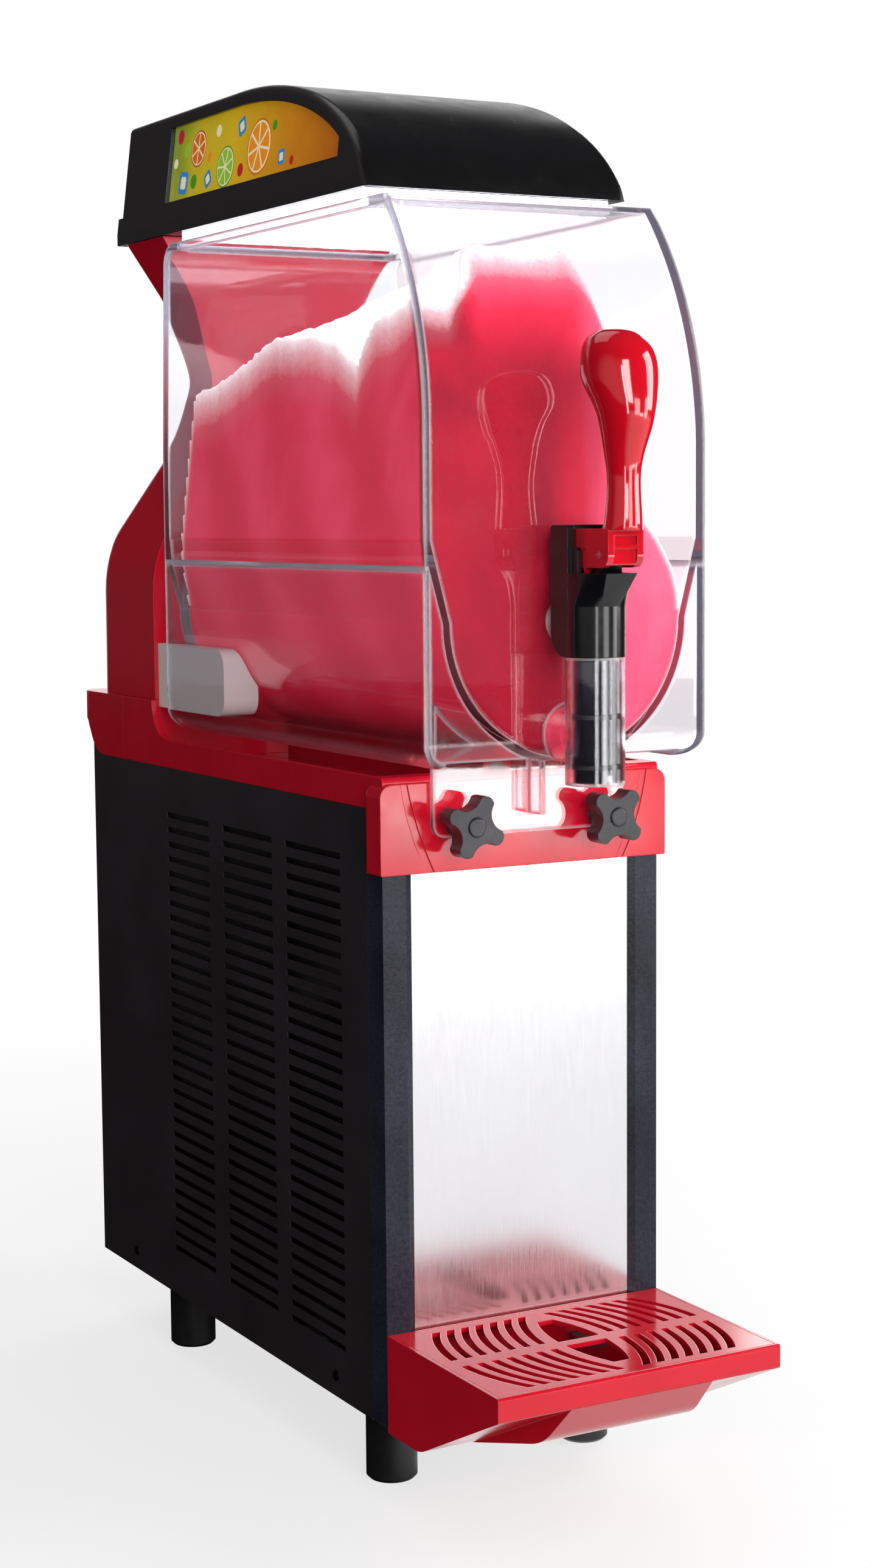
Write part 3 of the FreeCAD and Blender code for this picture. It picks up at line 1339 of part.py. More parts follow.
def make_fan_shroud():
    y = fan_y() + seat / 2
    low = case_bottom + frame_sheet
    plate = wide(condenser_half_width, (y, y + shroud_sheet), (low, low + condenser_height))
    ring = along_y(fan_radius + 4.0, (y, y + shroud_ring), 0, fan_z())
    hole = along_y(fan_radius + 2.5, (y - 1.0, y + shroud_ring + 1.0), 0, fan_z())
    spokes = []
    for i in range(3):
        spoke = box((-4.0, 4.0), (y + shroud_ring, y + shroud_ring + 3.0),
                    (fan_z(), fan_z() + fan_radius + 4.0))
        spoke.rotate(V(0, 0, fan_z()), V(0, 1, 0), 120 * i)
        spokes.append(spoke)
    pad = along_y(fan_motor_radius, (y + shroud_ring, y + shroud_ring + 3.0), 0, fan_z())
    bore = along_y(5.0, (y, y + shroud_ring + 5.0), 0, fan_z())
    return fused([fused([plate, ring]).cut(hole), pad] + spokes).cut(bore)


def make_fan_motor():
    y = fan_y() + seat / 2 + shroud_ring + 3.0
    body = turned([(y, 0), (y, fan_motor_radius - 2.0), (y + 4.0, fan_motor_radius),
                   (y + fan_motor_length - 4.0, fan_motor_radius), (y + fan_motor_length, fan_motor_radius - 5.0),
                   (y + fan_motor_length, 0)], V(0, 0, fan_z()), V(0, 1, fan_z()))
    return body.cut(along_y(fan_shaft_radius + fit, (y - 1.0, y + fan_shaft_socket), 0, fan_z()))


def make_fan_blade():
    y = fan_y() + seat / 2
    hub_back = y + shroud_ring - 2.0
    hub = along_y(fan_hub_radius, (y + 4.0, hub_back), 0, fan_z())
    shaft = along_y(fan_shaft_radius, (hub_back - 1.0, y + shroud_ring + fan_shaft_socket), 0, fan_z())
    pieces = [hub, shaft]
    for i in range(fan_blades):
        blade = box((-fan_blade_width / 2, fan_blade_width / 2), (-fan_blade_sheet / 2, fan_blade_sheet / 2),
                    (fan_hub_radius - 3.0, fan_radius))
        blade.rotate(V(0, 0, 0), V(0, 0, 1), fan_blade_pitch)
        blade.translate(V(0, (y + hub_back) / 2 + 1.0, 0))
        blade.rotate(V(0, 0, 0), V(0, 1, 0), 360 / fan_blades * i)
        blade.translate(V(0, 0, fan_z()))
        pieces.append(blade.common(along_y(fan_radius, (y + 1.5, hub_back), 0, fan_z())))
    return fused(pieces)


def make_filter_dryer():
    x = condenser_half_width - dryer_radius - 4.0
    y = condenser_place - dryer_radius - 1.0
    low = case_bottom + frame_sheet
    r = dryer_radius
    return turned([(0, 0), (0, 4.0), (10.0, 4.0), (18.0, r), (dryer_length - 18.0, r),
                   (dryer_length - 6.0, 3.0), (dryer_length, 3.0), (dryer_length, 0)],
                  V(x, y, low), V(x, y, low + 1.0))


# Rocker switches on the back of the tower

def make_switch_bezel():
    back = tower_back + switch_pad_rise
    half = rocker_spacing / 2 + rocker_width / 2 + bezel_wall + 2.0
    z = (switch_z - rocker_height / 2 - bezel_wall - 1.5, switch_z + rocker_height / 2 + bezel_wall + 1.5)
    plate = front_prism([(-half, z[0], 2.0), (half, z[0], 2.0), (half, z[1], 2.0), (-half, z[1], 2.0)],
                        (back, back + 2.0))
    plug = wide(half - bezel_wall - 0.2, (back - 14.0, back + 1.0),
                (z[0] + bezel_wall + 0.2, z[1] - bezel_wall - 0.2))
    solid = fused([plate, plug])
    for x in (-rocker_spacing / 2, rocker_spacing / 2):
        room = box((x - rocker_width / 2 - 0.4, x + rocker_width / 2 + 0.4), (back - 12.0, back + 5.0),
                   (switch_z - rocker_height / 2 - 0.6, switch_z + rocker_height / 2 + 0.6))
        solid = solid.cut(room).cut(rocker_pin(x, fit))
    return solid


def rocker_pin(x, growth):
    """Pin that a rocker turns on, or with growth the bore round it."""
    reach = rocker_width / 2 + rocker_pin_reach + 2 * growth
    return along_x(rocker_pin_radius + growth, (x - reach, x + reach), rocker_pivot_y, switch_z)


def make_rocker(x):
    pivot = rocker_pivot_y
    half = rocker_height / 2 - 0.6
    outline_corners = [(pivot - rocker_depth + 2.0, switch_z - 4.0, 1.0), (pivot - 1.0, switch_z - half, 0),
                       (pivot + 5.2, switch_z - half, 1.0), (pivot + 3.6, switch_z, 0),
                       (pivot + 5.2, switch_z + half, 1.0), (pivot - 1.0, switch_z + half, 0),
                       (pivot - rocker_depth + 2.0, switch_z + 4.0, 1.0)]
    rocker = side_prism(outline_corners, (x - rocker_width / 2, x + rocker_width / 2))
    rocker.rotate(V(0, pivot, switch_z), V(1, 0, 0), -rocker_angle / 2)
    return fused([rocker, rocker_pin(x, 0.0)])


def make_all():
    front_post = make_front_post()
    side_panel = make_side_panel()
    sign_panel = make_sign_panel()
    parts["feet"] = make_feet()
    parts["base_frame"] = make_base_frame()
    parts["front_post_right"] = front_post
    parts["front_post_left"] = mirrored(front_post)
    parts["side_panel_right"] = side_panel
    parts["side_panel_left"] = mirrored(side_panel)
    parts["panel_screws"] = make_panel_screws()
    parts["rear_panel"] = make_rear_panel()
    parts["cord_gland"] = make_cord_gland()
    parts["front_panel"] = make_front_panel()
    parts["tray_bracket"] = make_tray_bracket()
    parts["deck_plate"] = make_deck_plate()
    parts["base_cover"] = make_base_cover()
    parts["tower_cover"] = make_tower_cover()
    parts["bulkhead"] = make_bulkhead()
    parts["cooling_cylinder"] = make_drum()
    parts["front_bush"] = make_front_bush()
    parts["shaft_seal"] = make_shaft_seal()
    parts["cooling_coil"] = make_cooling_coil()
    parts["bowl_gasket"] = make_gasket()
    parts["guide_blocks"] = pair(make_guide_block())
    parts["gear_motor"] = make_gear_motor()
    parts["drive_shaft"] = make_drive_shaft()
    parts["auger"] = make_auger()
    parts["auger_nut"] = make_auger_nut()
    parts["bowl"] = make_bowl()
    parts["tap_bracket"] = make_tap_bracket()
    parts["tap_piston"] = make_tap_piston()
    parts["piston_seals"] = make_piston_seals()
    parts["stem_pin"] = make_stem_pin()
    parts["tap_spring"] = make_tap_spring()
    parts["tap_lever"] = make_tap_lever()
    parts["lever_pivot_pin"] = make_lever_pivot_pin()
    for side, x in (("left", -knob_spacing), ("right", knob_spacing)):
        parts["star_knob_" + side] = make_knob(x, knob_turns[side])
        parts["knob_cap_" + side] = make_knob_cap(x)
        parts["knob_stud_" + side] = make_knob_stud(x)
    parts["lid_shell"] = make_lid_shell()
    parts["sign_panel_right"] = sign_panel
    parts["sign_panel_left"] = mirrored(sign_panel)
    parts["lid_plate"] = make_lid_plate()
    parts["lid_diffuser"] = make_lid_diffuser()
    parts["lid_lamp"] = make_lid_lamp()
    parts["drip_tray"] = make_drip_tray()
    parts["drip_grille"] = make_drip_grille()
    parts["compressor"] = make_compressor()
    parts["condenser"] = make_condenser()
    parts["fan_shroud"] = make_fan_shroud()
    parts["fan_motor"] = make_fan_motor()
    parts["fan_blade"] = make_fan_blade()
    parts["filter_dryer"] = make_filter_dryer()
    parts["switch_bezel"] = make_switch_bezel()
    parts["power_rocker"] = make_rocker(-rocker_spacing / 2)
    parts["mode_rocker"] = make_rocker(rocker_spacing / 2)


make_all()
os.makedirs("parts", exist_ok=True)
for name, shape in parts.items():
    placed = shape.copy()
    placed.translate(V(0, -origin_y, 0))
    placed.exportStep("parts/" + name + ".step")
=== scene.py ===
import math

import bmesh
import bpy
import numpy as np
from mathutils import Matrix, Vector, noise


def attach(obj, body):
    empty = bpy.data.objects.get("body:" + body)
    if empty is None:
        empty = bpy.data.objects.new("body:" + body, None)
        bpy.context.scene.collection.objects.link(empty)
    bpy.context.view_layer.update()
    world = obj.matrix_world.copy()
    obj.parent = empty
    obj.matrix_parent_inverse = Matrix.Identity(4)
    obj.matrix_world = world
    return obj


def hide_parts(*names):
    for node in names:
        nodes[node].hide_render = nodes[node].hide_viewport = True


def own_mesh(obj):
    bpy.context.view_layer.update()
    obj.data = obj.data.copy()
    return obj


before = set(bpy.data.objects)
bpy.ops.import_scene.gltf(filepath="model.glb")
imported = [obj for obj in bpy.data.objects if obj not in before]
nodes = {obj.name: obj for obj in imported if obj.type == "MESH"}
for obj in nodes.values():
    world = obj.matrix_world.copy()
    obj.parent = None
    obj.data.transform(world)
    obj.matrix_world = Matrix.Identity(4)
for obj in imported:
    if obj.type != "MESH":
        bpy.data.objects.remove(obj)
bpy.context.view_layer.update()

MM = 0.001
WHITE = (1.0, 1.0, 1.0, 1.0)


# Small helpers. Every material starts with surface(), adds its nodes with add() and ends with wear().

def linear(colour):
    """Turns an sRGB hex colour into the linear colour a shader takes."""
    parts = [int(colour[i:i + 2], 16) / 255 for i in (1, 3, 5)]
    return [c / 12.92 if c <= 0.04045 else ((c + 0.055) / 1.055) ** 2.4 for c in parts] + [1.0]


def per_mm(size):
    """Texture scale at which one feature is this many millimetres across."""
    return 1 / (size * MM)


def add(tree, kind, inputs=(), stops=(), **settings):
    """Adds one shader node with its settings, its links and values, and the stops of a ramp."""
    made = tree.nodes.new("ShaderNode" + kind)
    for name, value in settings.items():
        setattr(made, name, value)
    for name, value in dict(inputs).items():
        if isinstance(value, bpy.types.NodeSocket):
            tree.links.new(value, made.inputs[name])
        else:
            made.inputs[name].default_value = value
    for i, (place, colour) in enumerate(stops):
        if i >= len(made.color_ramp.elements):
            made.color_ramp.elements.new(place)
        made.color_ramp.elements[i].position = place
        made.color_ramp.elements[i].color = linear(colour)
    return made


def surface(name, **constants):
    """New material with its Principled shader's constants set. Returns material, tree and shader."""
    made = bpy.data.materials.new(name)
    made.use_nodes = True
    shader = made.node_tree.nodes["Principled BSDF"]
    for key, value in constants.items():
        shader.inputs[key.replace("_", " ")].default_value = value
    return made, made.node_tree, shader


def wear(tree, shader, **sockets):
    """Links sockets to the shader's inputs of those names."""
    for key, socket in sockets.items():
        tree.links.new(socket, shader.inputs[key.replace("_", " ")])


def place_of(tree):
    """The point on the piece, in metres in the row frame."""
    return add(tree, "TexCoord").outputs["Object"]


def dress(material, *names):
    """Gives carried-over CAD nodes their finish."""
    for name in names:
        node = nodes[name]
        if not node.material_slots:
            node.data.materials.append(material)
        for slot in node.material_slots:
            slot.material = material


# Finishes

def moulded(name, colour, darker, rough, grain=0.6, relief=0.02, wave=0.0, edge=0.5, coat=0.0):
    """Injection moulding: cloudy colour, wiped roughness, mould grain and softly rounded edges.

    Grain is the size of the mould's texture, relief its height, wave the depth of sink marks over thick ribs
    and edge the radius of the rounding, all in millimetres.
    """
    material, tree, shader = surface(name, IOR=1.52, Coat_Weight=coat, Coat_Roughness=0.08)
    point = place_of(tree)
    cloud = add(tree, "TexNoise", {"Vector": point, "Scale": per_mm(45), "Detail": 4.0, "Roughness": 0.55})
    tint = add(tree, "MixRGB", {"Fac": cloud.outputs["Fac"], "Color1": linear(darker),
                                "Color2": linear(colour)})
    wiped = add(tree, "TexNoise", {"Vector": point, "Scale": per_mm(14), "Detail": 5.0, "Roughness": 0.6})
    gloss = add(tree, "MapRange", {"Value": wiped.outputs["Fac"], "From Min": 0.3, "From Max": 0.75,
                                   "To Min": rough * 0.8, "To Max": rough * 1.35})
    soft = add(tree, "Bevel", {"Radius": edge * MM}, samples=4)
    fine = add(tree, "TexNoise", {"Vector": point, "Scale": per_mm(grain), "Detail": 2.0})
    bump = add(tree, "Bump", {"Height": fine.outputs["Fac"], "Distance": relief * MM, "Strength": 0.6,
                              "Normal": soft.outputs["Normal"]})
    if wave:
        sink = add(tree, "TexNoise", {"Vector": point, "Scale": per_mm(38), "Detail": 1.0})
        bump = add(tree, "Bump", {"Height": sink.outputs["Fac"], "Distance": wave * MM, "Strength": 1.0,
                                  "Normal": bump.outputs["Normal"]})
    wear(tree, shader, Base_Color=tint.outputs["Color"], Roughness=gloss.outputs["Result"],
         Normal=bump.outputs["Normal"])
    return material


def coated_sheet(name, colour, lighter, rough, grain, relief, sheen=0.5):
    """Powder-coated steel: fine pebbled skin, a little dusty in places, its high points painted lighter as a
    painted highlight mixed with dust.
    """
    material, tree, shader = surface(name, IOR=1.5, Specular_IOR_Level=sheen)
    point = place_of(tree)
    pebble = add(tree, "TexNoise", {"Vector": point, "Scale": per_mm(grain), "Detail": 3.0,
                                    "Roughness": 0.65})
    dust = add(tree, "TexNoise", {"Vector": point, "Scale": per_mm(70), "Detail": 4.0})
    # Painted highlight and dust: high points of the pebbles are painted lighter, more so where it is dusty.
    share = add(tree, "Math", {0: pebble.outputs["Fac"], 1: dust.outputs["Fac"]}, operation="MULTIPLY")
    level = add(tree, "MapRange", {"Value": share.outputs["Value"], "From Min": 0.12, "From Max": 0.42})
    tint = add(tree, "MixRGB", {"Fac": level.outputs["Result"], "Color1": linear(colour),
                                "Color2": linear(lighter)})
    gloss = add(tree, "MapRange", {"Value": dust.outputs["Fac"], "From Min": 0.3, "From Max": 0.7,
                                   "To Min": rough * 0.85, "To Max": rough * 1.2})
    soft = add(tree, "Bevel", {"Radius": 0.6 * MM}, samples=4)
    bump = add(tree, "Bump", {"Height": pebble.outputs["Fac"], "Distance": relief * MM, "Strength": 0.8,
                              "Normal": soft.outputs["Normal"]})
    wear(tree, shader, Base_Color=tint.outputs["Color"], Roughness=gloss.outputs["Result"],
         Normal=bump.outputs["Normal"])
    return material


def metal(name, colour, darker, rough, stretch=(1.0, 1.0, 1.0), grain=0.5, relief=0.01):
    """Bare metal. Its polish or brush marks run along the axis on which stretch is small."""
    material, tree, shader = surface(name, Metallic=1.0)
    point = place_of(tree)
    drawn = add(tree, "Mapping", {"Vector": point, "Scale": stretch})
    brush = add(tree, "TexNoise", {"Vector": drawn.outputs["Vector"], "Scale": per_mm(grain),
                                   "Detail": 3.0})
    handled = add(tree, "TexNoise", {"Vector": point, "Scale": per_mm(60), "Detail": 4.0})
    tint = add(tree, "MixRGB", {"Fac": handled.outputs["Fac"], "Color1": linear(darker),
                                "Color2": linear(colour)})
    gloss = add(tree, "MapRange", {"Value": brush.outputs["Fac"], "From Min": 0.25, "From Max": 0.75,
                                   "To Min": rough * 0.75, "To Max": rough * 1.3})
    bump = add(tree, "Bump", {"Height": brush.outputs["Fac"], "Distance": relief * MM, "Strength": 0.5})
    wear(tree, shader, Base_Color=tint.outputs["Color"], Roughness=gloss.outputs["Result"],
         Normal=bump.outputs["Normal"])
    return material


# Glossy ABS in signal red: smooth tool finish, so it mirrors the room with slightly wavy highlights.
red_abs = moulded("glossy_red_abs", "#d3122b", "#bd0f25", 0.14, grain=0.9, relief=0.006, wave=0.05,
                  edge=0.9)
# The grille and tray are the same ABS, dulled a little by wiping and wet cups.
red_tray = moulded("wiped_red_abs", "#d01229", "#b80f23", 0.13, grain=0.8, relief=0.012, wave=0.03,
                   edge=0.7)
# Polished acetal lever: the glossiest red piece, with a skin as deep as lacquer.
red_lever = moulded("polished_red_lever", "#cc0c20", "#b60a1c", 0.09, grain=1.2, relief=0.004, wave=0.04,
                    edge=0.8, coat=0.6)
# Moulded black ABS of the bracket, the lid's plate and the switch frame: satin to gloss.
black_abs = moulded("glossy_black_abs", "#0d0c0e", "#08080a", 0.16, grain=0.7, relief=0.01, wave=0.03,
                    edge=0.7)
# Glass-filled nylon: matte knobs with a visible spark-eroded grain.
black_nylon = moulded("satin_black_nylon", "#2b292e", "#1d1b20", 0.26, grain=0.55, relief=0.05, edge=0.9)
# Legs: soft black polypropylene, scuffed where they stand.
black_leg = moulded("black_polypropylene", "#141215", "#0c0b0d", 0.38, grain=0.8, relief=0.03, edge=1.2)
# White acetal of the guide blocks, a warm off-white.
white_acetal = moulded("white_acetal", "#f7ece4", "#eee0d6", 0.33, grain=0.9, relief=0.02, edge=1.0)
# Food-grade polyethylene of the auger, its nut and the bush: waxy and faintly mottled.
white_poly = moulded("white_food_polyethylene", "#efede8", "#e2dfd8", 0.45, grain=1.4, relief=0.03,
                     edge=0.8)
# Seals: moulded nitrile, dull with a fine bloom.
black_rubber = moulded("black_nitrile", "#1d1d1f", "#141416", 0.6, grain=0.5, relief=0.04, edge=0.3)
# Pale silicone gasket.
pale_rubber = moulded("pale_silicone", "#cfccc4", "#bdb9b0", 0.5, grain=0.8, relief=0.03, edge=0.4)
# Glass-filled polyamide of the fan, the gland and the mode rocker: dull black.
black_plain = moulded("black_polyamide", "#18181a", "#101012", 0.35, grain=0.6, relief=0.04, edge=0.4)
# Power rocker: high-gloss polycarbonate.
red_rocker = moulded("red_rocker_polycarbonate", "#b5101c", "#a00d18", 0.12, grain=0.8, relief=0.004,
                     edge=0.5)
# Piston in the tap's tube: wet with drink, so it shines.
wet_piston = moulded("wet_black_piston", "#15151a", "#0c0c10", 0.1, grain=1.5, relief=0.01, edge=0.6,
                     coat=1.0)
# Side sheets: semi-matte powder coat, its orange peel about 0.8 mm, drawn a little coarser to show.
black_coat = coated_sheet("black_powder_coat", "#161315", "#262125", 0.36, 1.1, 0.05)
# Posts: hammered powder coat, a coarse cool speckle drawn at its real size, its light flecks partly a painted
# highlight.
hammer_coat = coated_sheet("hammered_powder_coat", "#0b0c12", "#2c2e3d", 0.22, 1.7, 0.2, sheen=0.3)
# Grey primer on the hidden base frame.
grey_paint = coated_sheet("grey_frame_paint", "#3a3b3e", "#4a4b4f", 0.45, 0.9, 0.05)
# Compressor: dipped black enamel with slow runs.
enamel = coated_sheet("black_compressor_enamel", "#0f0f10", "#1b1b1d", 0.2, 6.0, 0.08)
# Bright annealed stainless: mirror-like with a faint vertical polish.
stainless = metal("bright_stainless_sheet", "#f1f0f3", "#e9e7eb", 0.2, (1.0, 1.0, 0.02), 0.35, 0.0008)
# Polished and lightly brushed stainless of the freezing cylinder, brushed round its girth.
drum_steel = metal("brushed_stainless_cylinder", "#c9cacd", "#b9babd", 0.24, (0.02, 1.0, 0.02), 0.4)
# Turned stainless pins and shafts.
turned_steel = metal("turned_stainless", "#c4c5c8", "#b2b3b7", 0.18, grain=0.7, relief=0.006)
# Blackened zinc plate on the screws.
dark_screw = metal("blackened_zinc", "#2b2a2d", "#1e1d20", 0.35, grain=0.6, relief=0.02)
# Galvanised sheet: spangle a centimetre across.
zinc_sheet = metal("galvanised_sheet", "#a9acb0", "#8d9196", 0.38, grain=9.0)
# Pressure die-cast gearbox and motor shells.
cast_metal = metal("die_cast_aluminium", "#7d8084", "#66696d", 0.5, grain=0.8, relief=0.08)
# Rolled aluminium fins.
fin_metal = metal("rolled_aluminium_fins", "#b7babd", "#9fa2a6", 0.3, (1.0, 1.0, 0.05), 0.5, 0.02)
# Drawn copper, lightly oxidised.
copper = metal("drawn_copper", "#c67a52", "#a15d3c", 0.28, grain=4.0)
# Music-wire spring.
spring_steel = metal("spring_wire", "#9a9b9f", "#808186", 0.25, grain=0.4)


def lid_moulding():
    """Black ABS lid: its curved top is polished, its side faces and flange carry a spark-eroded grain."""
    material, tree, shader = surface("black_lid_abs", IOR=1.52)
    point = place_of(tree)
    facing = add(tree, "SeparateXYZ", {0: add(tree, "NewGeometry").outputs["True Normal"]})
    sideways = add(tree, "Math", {0: facing.outputs["X"]}, operation="ABSOLUTE")
    side = add(tree, "MapRange", {"Value": sideways.outputs["Value"], "From Min": 0.6, "From Max": 0.85})
    tint = add(tree, "MixRGB", {"Fac": side.outputs["Result"], "Color1": linear("#0b0a0b"),
                                "Color2": linear("#231e20")})
    dust = add(tree, "TexNoise", {"Vector": point, "Scale": per_mm(18), "Detail": 5.0, "Roughness": 0.62})
    polished = add(tree, "MapRange", {"Value": dust.outputs["Fac"], "From Min": 0.35, "From Max": 0.75,
                                      "To Min": 0.2, "To Max": 0.3})
    gloss = add(tree, "MixRGB", {"Fac": side.outputs["Result"], "Color1": polished.outputs["Result"],
                                 "Color2": (0.55, 0.55, 0.55, 1.0)})
    grain = add(tree, "TexNoise", {"Vector": point, "Scale": per_mm(0.7), "Detail": 2.0})
    depth = add(tree, "MapRange", {"Value": side.outputs["Result"], "To Min": 0.05, "To Max": 0.8})
    soft = add(tree, "Bevel", {"Radius": 0.9 * MM}, samples=4)
    bump = add(tree, "Bump", {"Height": grain.outputs["Fac"], "Strength": depth.outputs["Result"],
                              "Distance": 0.05 * MM, "Normal": soft.outputs["Normal"]})
    wear(tree, shader, Base_Color=tint.outputs["Color"], Roughness=gloss.outputs["Color"],
         Normal=bump.outputs["Normal"])
    return material


PAINTED_PALE_EDGE = 0.5          # share of light that still passes straight through the bowl's edges, half frosted as painted light so they look pale
CAUGHT_LIGHT = 0.15         # the same share for light mirrored to and fro inside a wall
CAUGHT = {"From Min": 1.5, "From Max": 2.5}      # mirror bounces after which light counts as caught
CLEAR_TINT = "#fdfdff"


def clear_moulding():
    """Clear polycarbonate bowl: hazy from washing, with hairline wipe marks and rounded edges, half frosted as
    painted light so they look pale.

    Lamps shine through it. Light caught between its walls scatters, so thick edges look pale and not black;
    that scattered light's colour is painted by place.
    """
    material, tree, shader = surface("clear_polycarbonate", IOR=1.585, Transmission_Weight=1.0,
                                     Base_Color=linear(CLEAR_TINT))
    point = place_of(tree)
    washed = add(tree, "TexNoise", {"Vector": point, "Scale": per_mm(26), "Detail": 5.0, "Roughness": 0.6})
    haze = add(tree, "MapRange", {"Value": washed.outputs["Fac"], "From Min": 0.45, "From Max": 0.8,
                                  "To Min": 0.0, "To Max": 0.07})
    # Wipe marks are hairs that run along the bowl, and the moulding's flow lines are wide and shallow.
    wiped = add(tree, "Mapping", {"Vector": point, "Scale": (1.0, 0.08, 1.0), "Rotation": (0.25, 0.0, 0.1)})
    hair = add(tree, "TexNoise", {"Vector": wiped.outputs["Vector"], "Scale": per_mm(2.2), "Detail": 2.0})
    flow = add(tree, "TexNoise", {"Vector": point, "Scale": per_mm(55), "Detail": 1.0})
    soft = add(tree, "Bevel", {"Radius": 3.2 * MM}, samples=4)
    bump = add(tree, "Bump", {"Height": hair.outputs["Fac"], "Distance": 0.004 * MM, "Strength": 0.5,
                              "Normal": soft.outputs["Normal"]})
    bump = add(tree, "Bump", {"Height": flow.outputs["Fac"], "Distance": 0.12 * MM, "Strength": 0.6,
                              "Normal": bump.outputs["Normal"]})
    # An edge is where the rounded normal turns away from the flat one. There the bowl is half frosted, painted
    # light that makes the edge pale.
    plain = add(tree, "NewGeometry").outputs["True Normal"]
    turned = add(tree, "VectorMath", {0: plain, 1: soft.outputs["Normal"]}, operation="DOT_PRODUCT")
    turned = add(tree, "Math", {0: turned.outputs["Value"]}, operation="ABSOLUTE")
    clear = add(tree, "MapRange", {"Value": turned.outputs["Value"], "From Min": 0.86, "From Max": 0.985,
                                   "To Min": PAINTED_PALE_EDGE})
    ray = add(tree, "LightPath")
    caught = add(tree, "MapRange", {"Value": ray.outputs["Glossy Depth"], "To Min": 1.0,
                                    "To Max": CAUGHT_LIGHT, **CAUGHT})
    passed = add(tree, "Math", {0: clear.outputs["Result"], 1: caught.outputs["Result"]},
                 operation="MULTIPLY")
    # Painted light: caught light is painted pale on the left, grey on the right, and pink where the walls hold
    # drink.
    axes = add(tree, "SeparateXYZ", {0: point})
    across = add(tree, "MapRange", {"Value": axes.outputs["X"], "From Min": -0.06, "From Max": 0.08})
    edge = add(tree, "MixRGB", {"Fac": across.outputs["Result"], "Color1": linear("#dcdbe6"),
                                "Color2": linear("#4c4960")})
    sideways = add(tree, "Math", {0: axes.outputs["X"]}, operation="ABSOLUTE")
    inner = add(tree, "MapRange", {"Value": sideways.outputs["Value"], "From Min": 0.094,
                                   "From Max": 0.088})
    low = add(tree, "MapRange", {"Value": axes.outputs["Z"], "From Min": 0.76, "From Max": 0.7})
    inner = add(tree, "Math", {0: inner.outputs["Result"], 1: low.outputs["Result"]}, operation="MULTIPLY")
    edge = add(tree, "MixRGB", {"Fac": inner.outputs["Value"], "Color1": edge.outputs["Color"],
                                "Color2": linear("#d8405c")})
    trapped = add(tree, "MapRange", {"Value": ray.outputs["Glossy Depth"], **CAUGHT})
    tint = add(tree, "MixRGB", {"Fac": trapped.outputs["Result"], "Color1": linear(CLEAR_TINT),
                                "Color2": edge.outputs["Color"]})
    wear(tree, shader, Transmission_Weight=passed.outputs["Value"], Base_Color=tint.outputs["Color"],
         Roughness=haze.outputs["Result"], Normal=bump.outputs["Normal"])
    through = add(tree, "BsdfTransparent", {"Color": linear("#f2f1f6")})
    both = add(tree, "MixShader", {0: ray.outputs["Is Shadow Ray"], 1: shader.outputs["BSDF"],
                                   2: through.outputs["BSDF"]})
    tree.links.new(both.outputs["Shader"], tree.nodes["Material Output"].inputs["Surface"])
    return material


def opal_sheet(name, glow):
    """Opal acrylic with a lamp behind it: soft white, faintly clouded."""
    material, tree, shader = surface(name, IOR=1.49, Roughness=0.35, Emission_Strength=glow)
    cloud = add(tree, "TexNoise", {"Vector": place_of(tree), "Scale": per_mm(50), "Detail": 2.0})
    tint = add(tree, "MixRGB", {"Fac": cloud.outputs["Fac"], "Color1": linear("#e8e9f2"),
                                "Color2": linear("#f8f8fb")})
    wear(tree, shader, Base_Color=tint.outputs["Color"], Emission_Color=tint.outputs["Color"])
    return material


def sign_print():
    """Back-printed polycarbonate sheet: yellow that runs to orange at the front and green at the back."""
    material, tree, shader = surface("printed_yellow_sheet", IOR=1.58, Roughness=0.22,
                                     Emission_Strength=0.5, Coat_Weight=0.5)
    point = place_of(tree)
    axes = add(tree, "SeparateXYZ", {0: point})
    cloud = add(tree, "TexNoise", {"Vector": point, "Scale": per_mm(38), "Detail": 3.0, "Distortion": 0.6})
    shift = add(tree, "MapRange", {"Value": cloud.outputs["Fac"], "To Min": -0.03, "To Max": 0.03})
    along = add(tree, "Math", {0: axes.outputs["Y"], 1: shift.outputs["Result"]}, operation="ADD")
    share = add(tree, "MapRange", {"Value": along.outputs["Value"], "From Min": -0.12, "From Max": 0.15})
    tint = add(tree, "ValToRGB", {"Fac": share.outputs["Result"]},
               stops=((0.0, "#a9560a"), (0.3, "#c77f10"), (0.62, "#d2ac18"), (0.85, "#bfae22"),
                      (1.0, "#6f8a26")))
    # The printing screen's dots, 0.8 mm apart.
    dots = add(tree, "TexVoronoi", {"Vector": point, "Scale": per_mm(0.8)})
    screen = add(tree, "MapRange", {"Value": dots.outputs["Distance"], "From Min": 0.2, "From Max": 0.6,
                                    "To Min": 0.9, "To Max": 1.0})
    printed = add(tree, "MixRGB", {"Fac": 1.0, "Color1": tint.outputs["Color"],
                                   "Color2": screen.outputs["Result"]}, blend_type="MULTIPLY")
    wear(tree, shader, Base_Color=printed.outputs["Color"], Emission_Color=printed.outputs["Color"])
    return material


def ink(name, colour, darker):
    """Screen ink on the sign: flat colour with slight mottling."""
    material, tree, shader = surface("ink_" + name, IOR=1.5, Roughness=0.28, Emission_Strength=0.4,
                                     Coat_Weight=0.4)
    cloud = add(tree, "TexNoise", {"Vector": place_of(tree), "Scale": per_mm(5), "Detail": 3.0})
    tint = add(tree, "MixRGB", {"Fac": cloud.outputs["Fac"], "Color1": linear(darker),
                                "Color2": linear(colour)})
    wear(tree, shader, Base_Color=tint.outputs["Color"], Emission_Color=tint.outputs["Color"])
    return material


